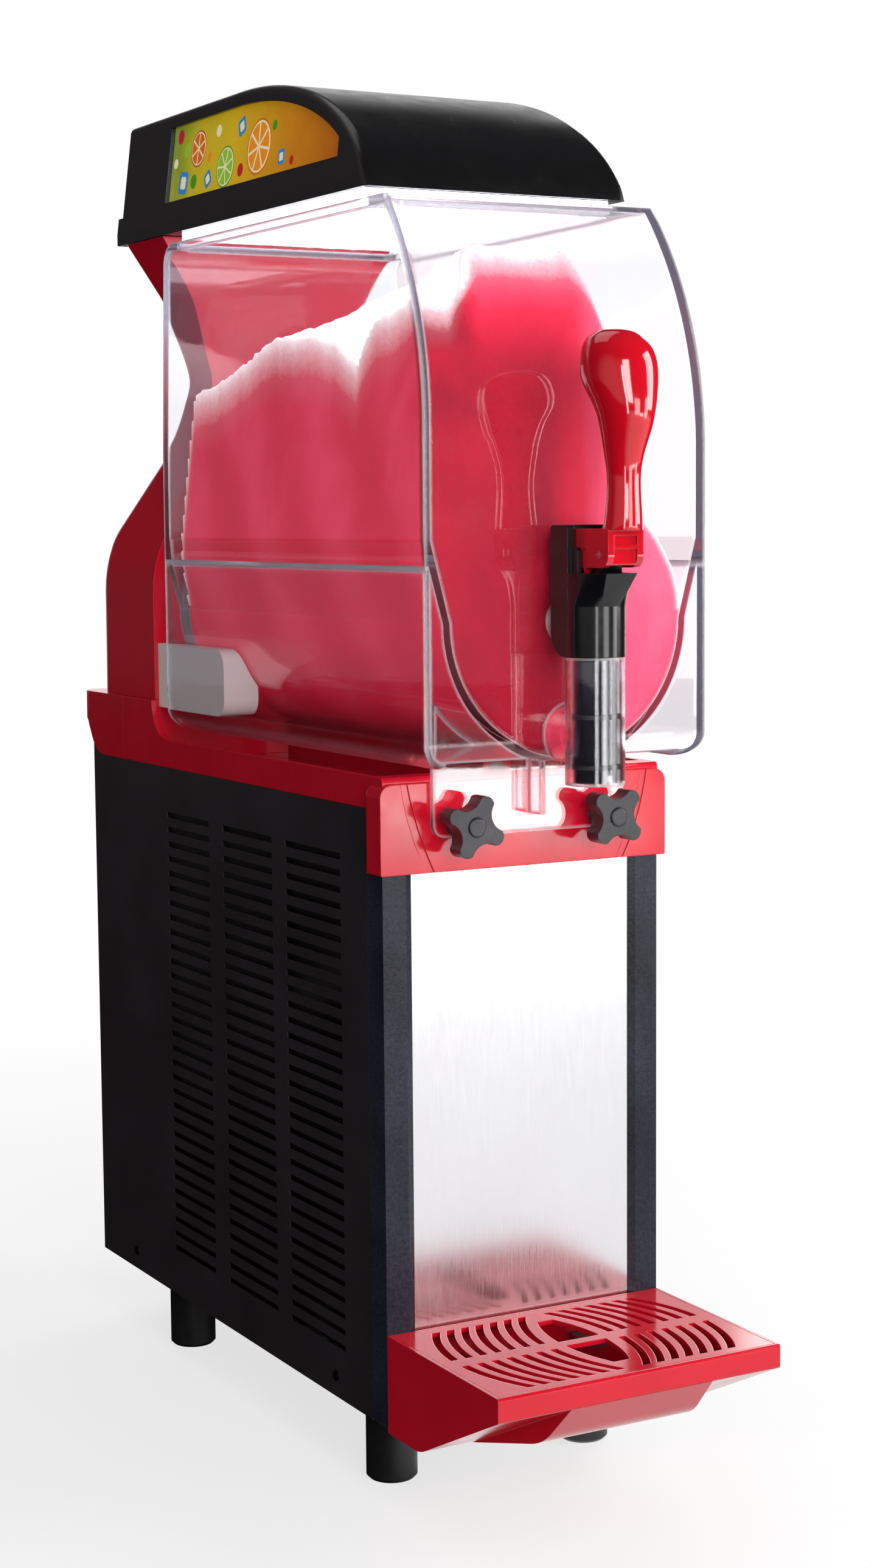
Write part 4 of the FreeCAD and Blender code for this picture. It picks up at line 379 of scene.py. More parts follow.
def frozen_drink():
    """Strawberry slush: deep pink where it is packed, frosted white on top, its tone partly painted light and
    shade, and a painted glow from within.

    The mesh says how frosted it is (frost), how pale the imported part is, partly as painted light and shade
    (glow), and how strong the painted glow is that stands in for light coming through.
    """
    material, tree, shader = surface("strawberry_slush", IOR=1.33, Roughness=0.5, Emission_Strength=1.0,
                                     Specular_IOR_Level=0.2)
    point = place_of(tree)
    frost, glow, painted_glow = (add(tree, "Attribute", attribute_name=name).outputs["Fac"]
                        for name in ("frost", "glow", "painted_glow"))
    swirl = add(tree, "TexNoise", {"Vector": point, "Scale": per_mm(70), "Detail": 3.0, "Distortion": 0.8})
    grain = add(tree, "TexNoise", {"Vector": point, "Scale": per_mm(2.4), "Detail": 5.0, "Roughness": 0.75})
    stir = add(tree, "MapRange", {"Value": swirl.outputs["Fac"], "To Min": -0.12, "To Max": 0.12})
    depth = add(tree, "Math", {0: glow, 1: stir.outputs["Result"]}, operation="ADD")
    packed = add(tree, "ValToRGB", {"Fac": depth.outputs["Value"]},
                 stops=((0.0, "#6d0619"), (0.28, "#b80f2c"), (0.5, "#cc203c"), (0.75, "#e84c69"),
                        (1.0, "#f98aa2")))
    ragged = add(tree, "MapRange", {"Value": grain.outputs["Fac"], "To Min": -0.14, "To Max": 0.14})
    level = add(tree, "Math", {0: frost, 1: ragged.outputs["Result"]}, operation="ADD")
    snow = add(tree, "ValToRGB", {"Fac": level.outputs["Value"]},
               stops=((0.0, "#000000"), (0.4, "#404040"), (0.75, "#b0b0b0"), (1.0, "#ffffff")))
    tint = add(tree, "MixRGB", {"Fac": snow.outputs["Color"], "Color1": packed.outputs["Color"],
                                "Color2": linear("#fdeeee")})
    # Painted glow: the drink's colour, times its painted glow share, shines from within.
    painted_glow_colour = add(tree, "MixRGB", {"Fac": 1.0, "Color1": tint.outputs["Color"], "Color2": painted_glow},
                  blend_type="MULTIPLY")
    bump = add(tree, "Bump", {"Height": grain.outputs["Fac"], "Distance": 0.5 * MM, "Strength": 0.5})
    wear(tree, shader, Base_Color=tint.outputs["Color"], Emission_Color=painted_glow_colour.outputs["Color"],
         Normal=bump.outputs["Normal"])
    return material


dress(red_abs, "base_cover", "tower_cover")
dress(red_tray, "drip_tray", "drip_grille")
dress(red_lever, "tap_lever")
dress(black_abs, "tap_bracket", "lid_plate", "switch_bezel")
dress(black_nylon, "star_knob_left", "star_knob_right", "knob_cap_left", "knob_cap_right")
dress(black_leg, "feet")
dress(white_acetal, "guide_blocks")
dress(white_poly, "auger", "auger_nut", "front_bush")
dress(black_rubber, "shaft_seal", "piston_seals")
dress(pale_rubber, "bowl_gasket")
dress(black_plain, "fan_blade", "cord_gland", "mode_rocker")
dress(red_rocker, "power_rocker")
dress(black_coat, "side_panel_left", "side_panel_right", "rear_panel")
dress(hammer_coat, "front_post_left", "front_post_right")
dress(grey_paint, "base_frame")
dress(enamel, "compressor")
dress(stainless, "front_panel")
dress(drum_steel, "cooling_cylinder")
dress(turned_steel, "drive_shaft", "lever_pivot_pin", "stem_pin", "knob_stud_left", "knob_stud_right")
dress(dark_screw, "panel_screws")
dress(zinc_sheet, "tray_bracket", "deck_plate", "bulkhead", "fan_shroud")
dress(cast_metal, "gear_motor", "fan_motor")
dress(fin_metal, "condenser")
dress(copper, "cooling_coil", "filter_dryer")
dress(spring_steel, "tap_spring")
dress(lid_moulding(), "lid_shell")
dress(clear_moulding(), "bowl")
dress(wet_piston, "tap_piston")
dress(opal_sheet("opal_lid_diffuser", 2.6), "lid_diffuser")
dress(opal_sheet("opal_lamp_cover", 1.6), "lid_lamp")
dress(sign_print(), "sign_panel_left", "sign_panel_right")


# Pieces that the CAD doesn't have. Sizes are millimetres in the row frame.

def finish_piece(bm, name, material, body, flat=False):
    """Makes the bmesh a piece that rides on a body and takes its finish from a slot."""
    mesh = bpy.data.meshes.new(name)
    bm.to_mesh(mesh)
    bm.free()
    if not flat:
        mesh.shade_smooth()
    mesh.materials.append(material)
    piece = bpy.data.objects.new(name, mesh)
    bpy.context.scene.collection.objects.link(piece)
    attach(piece, body)
    return piece


# The drink in the bowl. Its sizes are read off the bowl's own walls.
AXIS_Z = 551.5              # height of the auger's axis
BORE = 77.9                 # radius just outside the auger's blade
TROUGH = 80.6               # radius just inside the trough's wall
OVER_TROUGH = 1.4           # how far the drink stands over the trough's round where it is lowest
WALL = 93.4                 # half width between the bowl's side walls
SHOULDER_Z = 600.5          # the trough has widened to the side walls here
LEAN_Z = 660.0              # above this the sides lean in and the front curves back
LEAN = 3.4 / 146
CURVE_Y, CURVE_RADIUS = -16.9, 217.5        # centre and radius of the curved front
DRINK_FRONT, DRINK_BACK = -234.4, 131.0
BORE_FRONT = -220.2         # the auger's end
NUT_HOLE = 14.8             # radius round the auger's nut
AUGER_PITCH = 107.0
FROST_DEPTH = 42.0
DRINK_RAYS, DRINK_STEP, CAP_RINGS = 560, 3.4, 12
# Steps by which a ray grows from the auger's axis, the miss after which it stops, and its longest reach.
SEARCH_STEP, SEARCH_MISS, FURTHEST = 1.5, 2.6, 260
# The grid on which the top's lumps are worked out.
LUMP_LEFT, LUMP_FRONT, LUMP_STEP = -100, -240, 2
LUMP_COLUMNS, LUMP_ROWS = 101, 189

# Height of the top from front to back, as (y, z): at the left wall, in the middle and at the right wall.
# Bare numbers in the functions below are places in millimetres, and shares from 0 to 1.
LEFT_TOP = ((-235, 741), (-205, 738), (-171, 731), (-160, 722), (-149, 707), (-127, 717), (-88, 729),
            (-35, 730), (20, 716), (55, 705), (95, 697), (108, 650), (131, 560))
MIDDLE_TOP = ((-235, 773), (-200, 774), (-150, 769), (-100, 759), (-50, 748), (0, 738), (50, 722),
              (95, 704), (112, 650), (131, 560))
RIGHT_TOP = ((-235, 585), (-200, 590), (-150, 618), (-100, 650), (-50, 668), (0, 676), (50, 672),
             (95, 660), (112, 610), (131, 560))


def smooth(value, low, high):
    """0 below low, 1 above high and an S curve between."""
    t = np.clip((value - low) / (high - low), 0, 1)
    return t * t * (3 - 2 * t)


def drink_level(x, y):
    """Height of the top: humps along the left wall, a crest in the middle and a slope down to the right."""
    left, middle, right = (np.interp(y, *zip(*table)) for table in (LEFT_TOP, MIDDLE_TOP, RIGHT_TOP))
    back = smooth(y, -215, -120)
    # At the right front the drink sinks until it just covers the trough's round.
    bore_top = AXIS_Z + np.sqrt(np.maximum((TROUGH + OVER_TROUGH) ** 2 - x ** 2, 0))
    right = bore_top + (right - bore_top) * back
    step = smooth(x, -68 - 26 * back, -50 + 22 * back)
    level = left + (middle - left) * step
    reach = 58 + 38 * smooth(y, -235, -115)
    fall = np.clip((x - 5) / (reach - 5), 0, 1)
    fall = fall ** 1.6
    return level + (right - level) * fall * fall * (3 - 2 * fall)


def drink_lumps(x, y):
    """Small heaps and crystals on the top, from seeded noise."""
    heap = noise.fractal(Vector((x / 34, y / 34, 3.1)), 0.9, 2.1, 3)
    crystal = noise.fractal(Vector((x / 8, y / 8, 8.7)), 0.7, 2.2, 3)
    return 3.2 * heap + 2.0 * crystal


def drink_top():
    """The top's height as a function of x and y, its lumps worked out once on a grid and read between."""
    grid_x = LUMP_LEFT + LUMP_STEP * np.arange(LUMP_COLUMNS)
    grid_y = LUMP_FRONT + LUMP_STEP * np.arange(LUMP_ROWS)
    lumps = np.array([[drink_lumps(x, y) for x in grid_x] for y in grid_y])

    def top(x, y):
        column = np.clip((x - LUMP_LEFT) / LUMP_STEP, 0, LUMP_COLUMNS - 1.001)
        row = np.clip((y - LUMP_FRONT) / LUMP_STEP, 0, LUMP_ROWS - 1.001)
        i, j = row.astype(int), column.astype(int)
        u, v = row - i, column - j
        lump = (lumps[i, j] * (1 - u) * (1 - v) + lumps[i + 1, j] * u * (1 - v)
                + lumps[i, j + 1] * (1 - u) * v + lumps[i + 1, j + 1] * u * v)
        return drink_level(x, y) + lump

    return top


def drink_reach(y, ray_x, ray_z, top):
    """How far the drink goes from the auger's axis along each ray: to the bowl's walls or to its own top."""
    def inside(radius):
        x, z = radius * ray_x, AXIS_Z + radius * ray_z
        wall = np.where(z < SHOULDER_Z, TROUGH + (WALL - TROUGH) * (z - AXIS_Z) / (SHOULDER_Z - AXIS_Z),
                        WALL - LEAN * np.maximum(z - LEAN_Z, 0))
        arch = LEAN_Z + np.sqrt(np.maximum(CURVE_RADIUS ** 2 - (y - CURVE_Y) ** 2, 0))
        return (np.abs(x) < wall) & (z > AXIS_Z) & (z < top(x, y)) & (z < arch)

    low = np.full(len(y), TROUGH)
    for radius in np.arange(TROUGH + 1, FURTHEST, SEARCH_STEP):
        low = np.where(inside(radius) & (low > radius - SEARCH_MISS), radius, low)
    high = low + SEARCH_STEP
    for _ in range(8):
        middle = (low + high) / 2
        held = inside(middle)
        low, high = np.where(held, middle, low), np.where(held, high, middle)
    return np.maximum(low, TROUGH)


def make_drink(rays, stations, profile, cap):
    """Closed shell about the auger's axis: out to the bowl's walls and the top, in to the auger's bore.

    The stations run along the outer skin from front to back. The profile's (y, radius) pairs close it
    inside, and the cap's shares of the way out spread the rings of its front face.
    """
    bm = bmesh.new()
    rings = len(stations) + len(profile) + len(cap)
    bmesh.ops.create_grid(bm, x_segments=rays, y_segments=rings, size=1.0)
    layers = [bm.verts.layers.float.new(name) for name in ("frost", "glow", "painted_glow")]
    top = drink_top()
    angles = np.array([math.pi * vert.co.x for vert in bm.verts])
    rows = np.array([round((vert.co.y + 1) / 2 * rings) for vert in bm.verts]) % rings
    y = np.array(list(stations) + [place for place, _ in profile] + [stations[0]] * len(cap))[rows]
    ray_x, ray_z = np.sin(angles), np.cos(angles)
    reach = drink_reach(y, ray_x, ray_z, top)
    share = np.array([1.0] * len(stations) + [0.0] * len(profile) + list(cap))[rows]
    hole = [0.0] * len(stations) + [radius for _, radius in profile] + [NUT_HOLE] * len(cap)
    hole = np.array(hole)[rows]
    radius = np.where(rows < len(stations), reach, hole + share * (reach - hole))
    x, z = radius * ray_x, AXIS_Z + radius * ray_z
    shades = (drink_frost(x, y, z, top) * (radius > TROUGH + 0.5), drink_tone_and_painted_light(x, y, z), drink_painted_glow(x, y, z))
    for i, vert in enumerate(bm.verts):
        vert.co = Vector((x[i], y[i], z[i])) * MM
        for layer, shade in zip(layers, shades):
            vert[layer] = shade[i]
    bmesh.ops.remove_doubles(bm, verts=bm.verts, dist=1e-6)
    bmesh.ops.recalc_face_normals(bm, faces=bm.faces)
    return bm


def drink_face(y, z):
    """1 on the drink's front face, behind the bowl's flat and curved front, and 0 on its other sides."""
    curve = CURVE_Y - np.sqrt(np.maximum(CURVE_RADIUS ** 2 - np.maximum(z - LEAN_Z, 0) ** 2, 0))
    return smooth(curve - y, -6, -1)


def drink_slope_painted_shade(x, y):
    """1 on the side that falls to the right behind the front, and 0 elsewhere; there frost and glow are cut
    back as a painted shade.
    """
    return smooth(x, 5, 45) * (1 - smooth(-y, 195, 222))


def drink_frost(x, y, z, top):
    """1 at the top and 0 where the frost ends: thinner near the front, and drifting down its left corner."""
    near = smooth(-y, 200, 232)
    depth = FROST_DEPTH * (1 - near * (0.3 + 0.45 * smooth(x, -74, -44)))
    drift = (0.5 * (z - 745) + 4 * np.sin(z / 7)) * near * smooth(-x, 20, 45)
    # On the right slope the frost is cut back: a painted shade.
    return np.clip(1 - (top(x - drift, y) - z) / depth, 0, 1) * (1 - 0.55 * drink_slope_painted_shade(x, y))


def drink_tone_and_painted_light(x, y, z):
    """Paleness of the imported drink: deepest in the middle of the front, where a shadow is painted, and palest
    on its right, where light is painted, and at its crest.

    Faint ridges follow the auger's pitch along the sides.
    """
    front = drink_face(y, z)
    right = smooth(x, -20, 40)
    painted_tap_shadow = smooth(-np.abs(x + 12), -34, 0) * smooth(-z, -740, -620)
    crest = front * smooth(x, -66, -50) * smooth(z, 690, 765)
    bend = 8 * np.sqrt(np.maximum(z - 470, 0))
    ridges = 0.05 * np.cos(2 * np.pi * (y - bend) / AUGER_PITCH) * (1 - front)
    # The front is deeper, darker still in its middle as a painted shadow of the tap, and a little darker low
    # down; the front's right is painted paler as painted light.
    packed = 0.52 - 0.36 * front - 0.06 * painted_tap_shadow * front - 0.03 * smooth(-z, -600, -480)
    return packed + np.maximum(0.62 * right * front, 0.52 * crest) + ridges


def drink_painted_glow(x, y, z):
    """Painted glow for the light through the drink: most on the left and low down, least on the front and the
    right slope.
    """
    left = smooth(-x, 40, 85)
    deep = 0.14 * left * smooth(-z, -615, -560)
    return (0.36 + 0.37 * left + deep) * (1 - 0.9 * drink_face(y, z)) * (1 - 0.75 * drink_slope_painted_shade(x, y))


front_arc = np.radians(np.arange(0, 37.5, 1.5))
stations = list(CURVE_Y - CURVE_RADIUS * np.cos(front_arc))
stations += list(np.arange(stations[-1] + DRINK_STEP, DRINK_BACK - 1, DRINK_STEP)) + [DRINK_BACK]
inner_profile = [(DRINK_BACK, BORE), (BORE_FRONT, BORE), (BORE_FRONT, NUT_HOLE), (DRINK_FRONT, NUT_HOLE)]
cap_shares = np.arange(1, CAP_RINGS) / CAP_RINGS
slush = frozen_drink()
finish_piece(make_drink(DRINK_RAYS, stations, inner_profile, cap_shares), "drink", slush, "bowl")


def plate(bm, centre, size, turn=Matrix.Identity(4)):
    """Adds a cuboid of this size about a centre, both in millimetres."""
    bmesh.ops.create_cube(bm, size=1.0, matrix=Matrix.Translation(Vector(centre) * MM) @ turn
                          @ Matrix.Diagonal((*(Vector(size) * MM), 1.0)))


# Louvre blades behind the side panels' slots: a sloping strip to each row, as long as all three columns.
PANEL_INSIDE = 98.8
SLOT_TOP, SLOT_PITCH, SLOT_ROWS = 405.0, 10.6, 31
BLADE_FRONT, BLADE_BACK = -132.0, 176.0
BLADE_WIDTH, BLADE_SHEET, BLADE_LIFT = 14.5, 0.8, 0.9
BLADE_TILT = math.radians(42)


def louvre_blades(side):
    """All blades behind one side panel. Side is -1 for the left and 1 for the right."""
    bm = bmesh.new()
    turn = Matrix.Rotation(-side * (math.pi / 2 - BLADE_TILT), 4, "Y")
    x = side * (PANEL_INSIDE - (BLADE_WIDTH / 2 * math.sin(BLADE_TILT) + BLADE_SHEET))
    drop = BLADE_WIDTH / 2 * math.cos(BLADE_TILT) - BLADE_LIFT
    for row in range(SLOT_ROWS):
        plate(bm, (x, (BLADE_FRONT + BLADE_BACK) / 2, SLOT_TOP - row * SLOT_PITCH - drop),
              (BLADE_WIDTH, BLADE_BACK - BLADE_FRONT, BLADE_SHEET), turn)
    return bm


for side, word in ((-1, "left"), (1, "right")):
    finish_piece(louvre_blades(side), "louvre_blades_" + word, black_coat, "base", flat=True)


# The drink that stands in the outlet between the bowl and the tap.
OUTLET_RADIUS, OUTLET_Z = 13.6, 484.0
OUTLET_FRONT, OUTLET_BACK = -254.4, -228.0
# The outlet's shades: no frost, a pale tone and an even painted glow.
OUTLET_SHADES = {"frost": 0.0, "glow": 0.66, "painted_glow": 0.5}


def outlet_drink():
    """A plug along the outlet, all of one shade."""
    bm = bmesh.new()
    centre = Vector((0, (OUTLET_BACK + OUTLET_FRONT) / 2, OUTLET_Z)) * MM
    bmesh.ops.create_cone(bm, cap_ends=True, segments=48, radius1=OUTLET_RADIUS * MM,
                          radius2=OUTLET_RADIUS * MM, depth=(OUTLET_BACK - OUTLET_FRONT) * MM,
                          matrix=Matrix.Translation(centre) @ Matrix.Rotation(math.pi / 2, 4, "X"))
    for name, value in OUTLET_SHADES.items():
        layer = bm.verts.layers.float.new(name)
        for vert in bm.verts:
            vert[layer] = value
    return bm


finish_piece(outlet_drink(), "outlet_drink", slush, "bowl", flat=True)


# The tap's spring. The CAD node is a plain sleeve, and the wire is wound inside its outline.
SPRING_RADIUS, SPRING_WIRE = 7.6, 1.4       # mean radius of the coils and thickness of the wire
SPRING_TURNS, TURN_STEPS, WIRE_SIDES = 9, 28, 12


def spring_seats():
    """Lower and upper end of the spring and the y of its axis, in metres, read off the CAD sleeve."""
    places = [vert.co for vert in nodes["tap_spring"].data.vertices]
    along_y, along_z = (sorted(place[axis] for place in places) for axis in (1, 2))
    return along_z[0], along_z[-1], (along_y[0] + along_y[-1]) / 2


def wound_spring(low, high, centre_y):
    """Coil spring with a closed turn at each end, made by sweeping the wire's section along the turns."""
    bm = bmesh.new()
    wire = SPRING_WIRE * MM
    start = Matrix.Translation((SPRING_RADIUS * MM, centre_y, low + wire / 2))
    start = start @ Matrix.Rotation(math.pi / 2, 4, "X")
    bmesh.ops.create_circle(bm, cap_ends=False, segments=WIRE_SIDES, radius=wire / 2, matrix=start)
    section = bm.verts[:] + bm.edges[:]
    rise = high - low - wire
    for turns, height in ((1, wire), (SPRING_TURNS - 2, rise - 2 * wire), (1, wire)):
        steps = turns * TURN_STEPS
        section = bmesh.ops.spin(bm, geom=section, cent=(0, centre_y, 0), axis=(0, 0, 1),
                                 angle=2 * math.pi * turns, dvec=(0, 0, height / steps),
                                 steps=steps)["geom_last"]
    bmesh.ops.holes_fill(bm, edges=[edge for edge in bm.edges if edge.is_boundary])
    bmesh.ops.recalc_face_normals(bm, faces=bm.faces)
    return bm


spring_low, spring_high, spring_y = spring_seats()
spring = finish_piece(wound_spring(spring_low, spring_high, spring_y), "wound_tap_spring", spring_steel,
                      "bowl")
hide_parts("tap_spring")
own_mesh(spring)


# The sign's print: plain fruit slices, ice cubes and bubbles laid flat on both sheets.
PRINT_THICKNESS = 0.06
LOW_PRINT, MIDDLE_PRINT, HIGH_PRINT = 0.02, 0.1, 0.18       # distances off the sheet, one print over another


def sheet_plane(node):
    """Outward normal of a flat sheet's large face, and that face's distance from the origin along it."""
    mesh = node.data
    side = math.copysign(1, sum(v.co.x for v in mesh.vertices))
    normal = sum((f.normal * f.area for f in mesh.polygons if f.normal.x * side > 0.5), Vector())
    normal.normalize()
    return normal, max(v.co.dot(normal) for v in mesh.vertices)


def on_circle(y, z, radius, angle):
    """Point of a circle about (y, z)."""
    return y + radius * math.cos(angle), z + radius * math.sin(angle)


class SignPrint:
    """Flat shapes on both sign sheets, placed by y and z, one bmesh to each ink."""

    def __init__(self):
        self.layers = {}
        self.planes = [sheet_plane(nodes["sign_panel_" + word]) for word in ("left", "right")]

    def shape(self, ink_name, outline, lift):
        """Thin closed plate with this outline."""
        bm = self.layers.setdefault(ink_name, bmesh.new())
        for normal, offset in self.planes:
            ring = []
            for y, z in outline:
                flat = Vector((0, y * MM, z * MM))
                x = (offset + lift * MM - flat.dot(normal)) / normal.x
                ring.append(bm.verts.new((x, flat.y, flat.z)))
            face = bm.faces.new(ring)
            grown = bmesh.ops.extrude_face_region(bm, geom=[face])["geom"]
            lifted = [v for v in grown if isinstance(v, bmesh.types.BMVert)]
            bmesh.ops.translate(bm, verts=lifted, vec=normal * PRINT_THICKNESS * MM)

    def disc(self, ink_name, y, z, radius, lift=LOW_PRINT, corners=40):
        """Round plate."""
        self.shape(ink_name, [on_circle(y, z, radius, 2 * math.pi * i / corners) for i in range(corners)],
                   lift)

    def fruit_slice(self, rind, pulp, y, z, radius, turn=0.2, wedges=8):
        """Rind, pith and wedges of a cut fruit."""
        self.disc(rind, y, z, radius)
        self.disc("cream", y, z, radius * 0.92, MIDDLE_PRINT)
        for i in range(wedges):
            middle = turn + 2 * math.pi * i / wedges
            half = math.pi / wedges * 0.86
            rim = [on_circle(y, z, radius * 0.85, middle + half * t) for t in (-1, -0.5, 0, 0.5, 1)]
            self.shape(pulp, [on_circle(y, z, radius * 0.1, middle)] + rim, HIGH_PRINT)

    def cube(self, y, z, size, turn):
        """Ice cube with clipped corners and a pale middle."""
        corners = [on_circle(y, z, size, turn + a)
                   for k in range(4) for a in (math.pi / 2 * k - 0.16, math.pi / 2 * k + 0.16)]
        self.shape("ice", corners, LOW_PRINT)
        self.shape("cream", [(y + (v - y) * 0.55, z + (w - z) * 0.55) for v, w in corners], MIDDLE_PRINT)


sign = SignPrint()
sign.fruit_slice("orange", "amber", 4, 857, 18.5, wedges=7)
sign.fruit_slice("lime", "leaf", 56, 850, 14.0, turn=0.5, wedges=7)
sign.fruit_slice("cherry", "orange", 104, 868, 12.5, turn=0.1, wedges=6)
for y, z, size, turn in ((34, 874, 7.0, 0.4), (126, 847, 9.5, 0.9), (84, 845, 6.5, 0.2),
                         (-32, 846, 6.0, 0.7)):
    sign.cube(y, z, size, turn)
for ink_name, y, z, radius in (("cherry", 31, 845, 4.4), ("lime", -18, 868, 3.4), ("cream", 72, 876, 4.0),
                               ("amber", 84, 860, 3.6), ("leaf", 124, 869, 4.6),
                               ("cherry", 137, 880, 5.0), ("cherry", -48, 842, 3.0),
                               ("lime", 108, 846, 5.0), ("cream", 142, 862, 3.4)):
    sign.disc(ink_name, y, z, radius)
inks = {"orange": ("#e2740c", "#cf6108"), "amber": ("#f39a1d", "#e98712"), "lime": ("#4f9a1e", "#3f8418"),
        "leaf": ("#9bcb3a", "#86b92d"), "cherry": ("#cc1f2a", "#b01620"), "cream": ("#f6efcd", "#eee4b6"),
        "ice": ("#3f8fd0", "#2f7cc0")}
for ink_name, bm in sign.layers.items():
    bmesh.ops.recalc_face_normals(bm, faces=bm.faces)
    finish_piece(bm, "sign_" + ink_name, ink(ink_name, *inks[ink_name]), "lid", flat=True)


# Floor, light and camera. Directions point away from the machine.
BEHIND_GLASS = 1.3          # brightness of the backdrop through the bowl, for the light that glass takes
AHEAD_RIGHT = (0.48, -0.88, 0.0)            # the part of the floor that the front panel mirrors to the eye
FRONT_CARD = (0.46, -0.84, 0.28)
LEFT_CARD = (-0.87, -0.5, 0.0)
BACKDROP = (0.48, 0.87, -0.1)


def ray_kinds(tree):
    """Sockets: 1 for a ray that met no mirror since it left the eye, and 1 for a ray of soft light."""
    path = add(tree, "LightPath")
    straight = add(tree, "Math", {0: path.outputs["Glossy Depth"], 1: 0.5}, operation="LESS_THAN")
    soft = add(tree, "Math", {0: path.outputs["Diffuse Depth"], 1: 0.5}, operation="GREATER_THAN")
    return straight.outputs["Value"], soft.outputs["Value"]


def studio_floor():
    """Pale floor that reads white away from the machine and takes its shadow near it."""
    bm = bmesh.new()
    bmesh.ops.create_circle(bm, cap_ends=True, segments=96, radius=8.0)
    mesh = bpy.data.meshes.new("floor")
    bm.to_mesh(mesh)
    bm.free()
    floor = bpy.data.objects.new("floor", mesh)
    bpy.context.scene.collection.objects.link(floor)
    material, tree, shader = surface("pale_studio_floor", Roughness=0.6, Base_Color=linear("#f4f3f4"))
    point = place_of(tree)
    axes = add(tree, "SeparateXYZ", {0: point})
    distance = add(tree, "VectorMath", {0: point}, operation="LENGTH").outputs["Value"]
    straight, soft = ray_kinds(tree)
    # To the eye: the machine's shadow shows near it, and further out all is white.
    seen = add(tree, "MapRange", {"Value": distance, "From Min": 0.5, "From Max": 1.4, "To Min": 0.7})
    # To a mirror: white only ahead of the front panel, out to four metres.
    way = add(tree, "VectorMath", {0: point}, operation="NORMALIZE")
    ahead = add(tree, "VectorMath", {0: way.outputs["Vector"], 1: AHEAD_RIGHT}, operation="DOT_PRODUCT")
    sweep = add(tree, "MapRange", {"Value": ahead.outputs["Value"], "From Min": 0.55, "From Max": 0.8})
    near = add(tree, "MapRange", {"Value": distance, "From Min": 3.4, "From Max": 4.4, "To Min": 0.92,
                                  "To Max": 0.0})
    mirrored = add(tree, "Math", {0: sweep.outputs["Result"], 1: near.outputs["Result"]},
                   operation="MULTIPLY")
    strength = add(tree, "MixRGB", {"Fac": straight, "Color1": mirrored.outputs["Value"], "Color2": WHITE})
    share = add(tree, "MixRGB", {"Fac": straight, "Color1": WHITE, "Color2": seen.outputs["Result"]})
    # As soft light: dim on the left and bright on the right.
    bounce = add(tree, "MapRange", {"Value": axes.outputs["X"], "From Min": -0.7, "From Max": 0.6,
                                    "To Min": 0.1, "To Max": 0.8})
    strength = add(tree, "MixRGB", {"Fac": soft, "Color1": strength.outputs["Color"],
                                    "Color2": bounce.outputs["Result"]})
    share = add(tree, "MixRGB", {"Fac": soft, "Color1": share.outputs["Color"], "Color2": WHITE})
    white = add(tree, "Emission", {"Color": strength.outputs["Color"]})
    both = add(tree, "MixShader", {0: share.outputs["Color"], 1: shader.outputs["BSDF"],
                                   2: white.outputs["Emission"]})
    tree.links.new(both.outputs["Shader"], tree.nodes["Material Output"].inputs["Surface"])
    floor.data.materials.append(material)


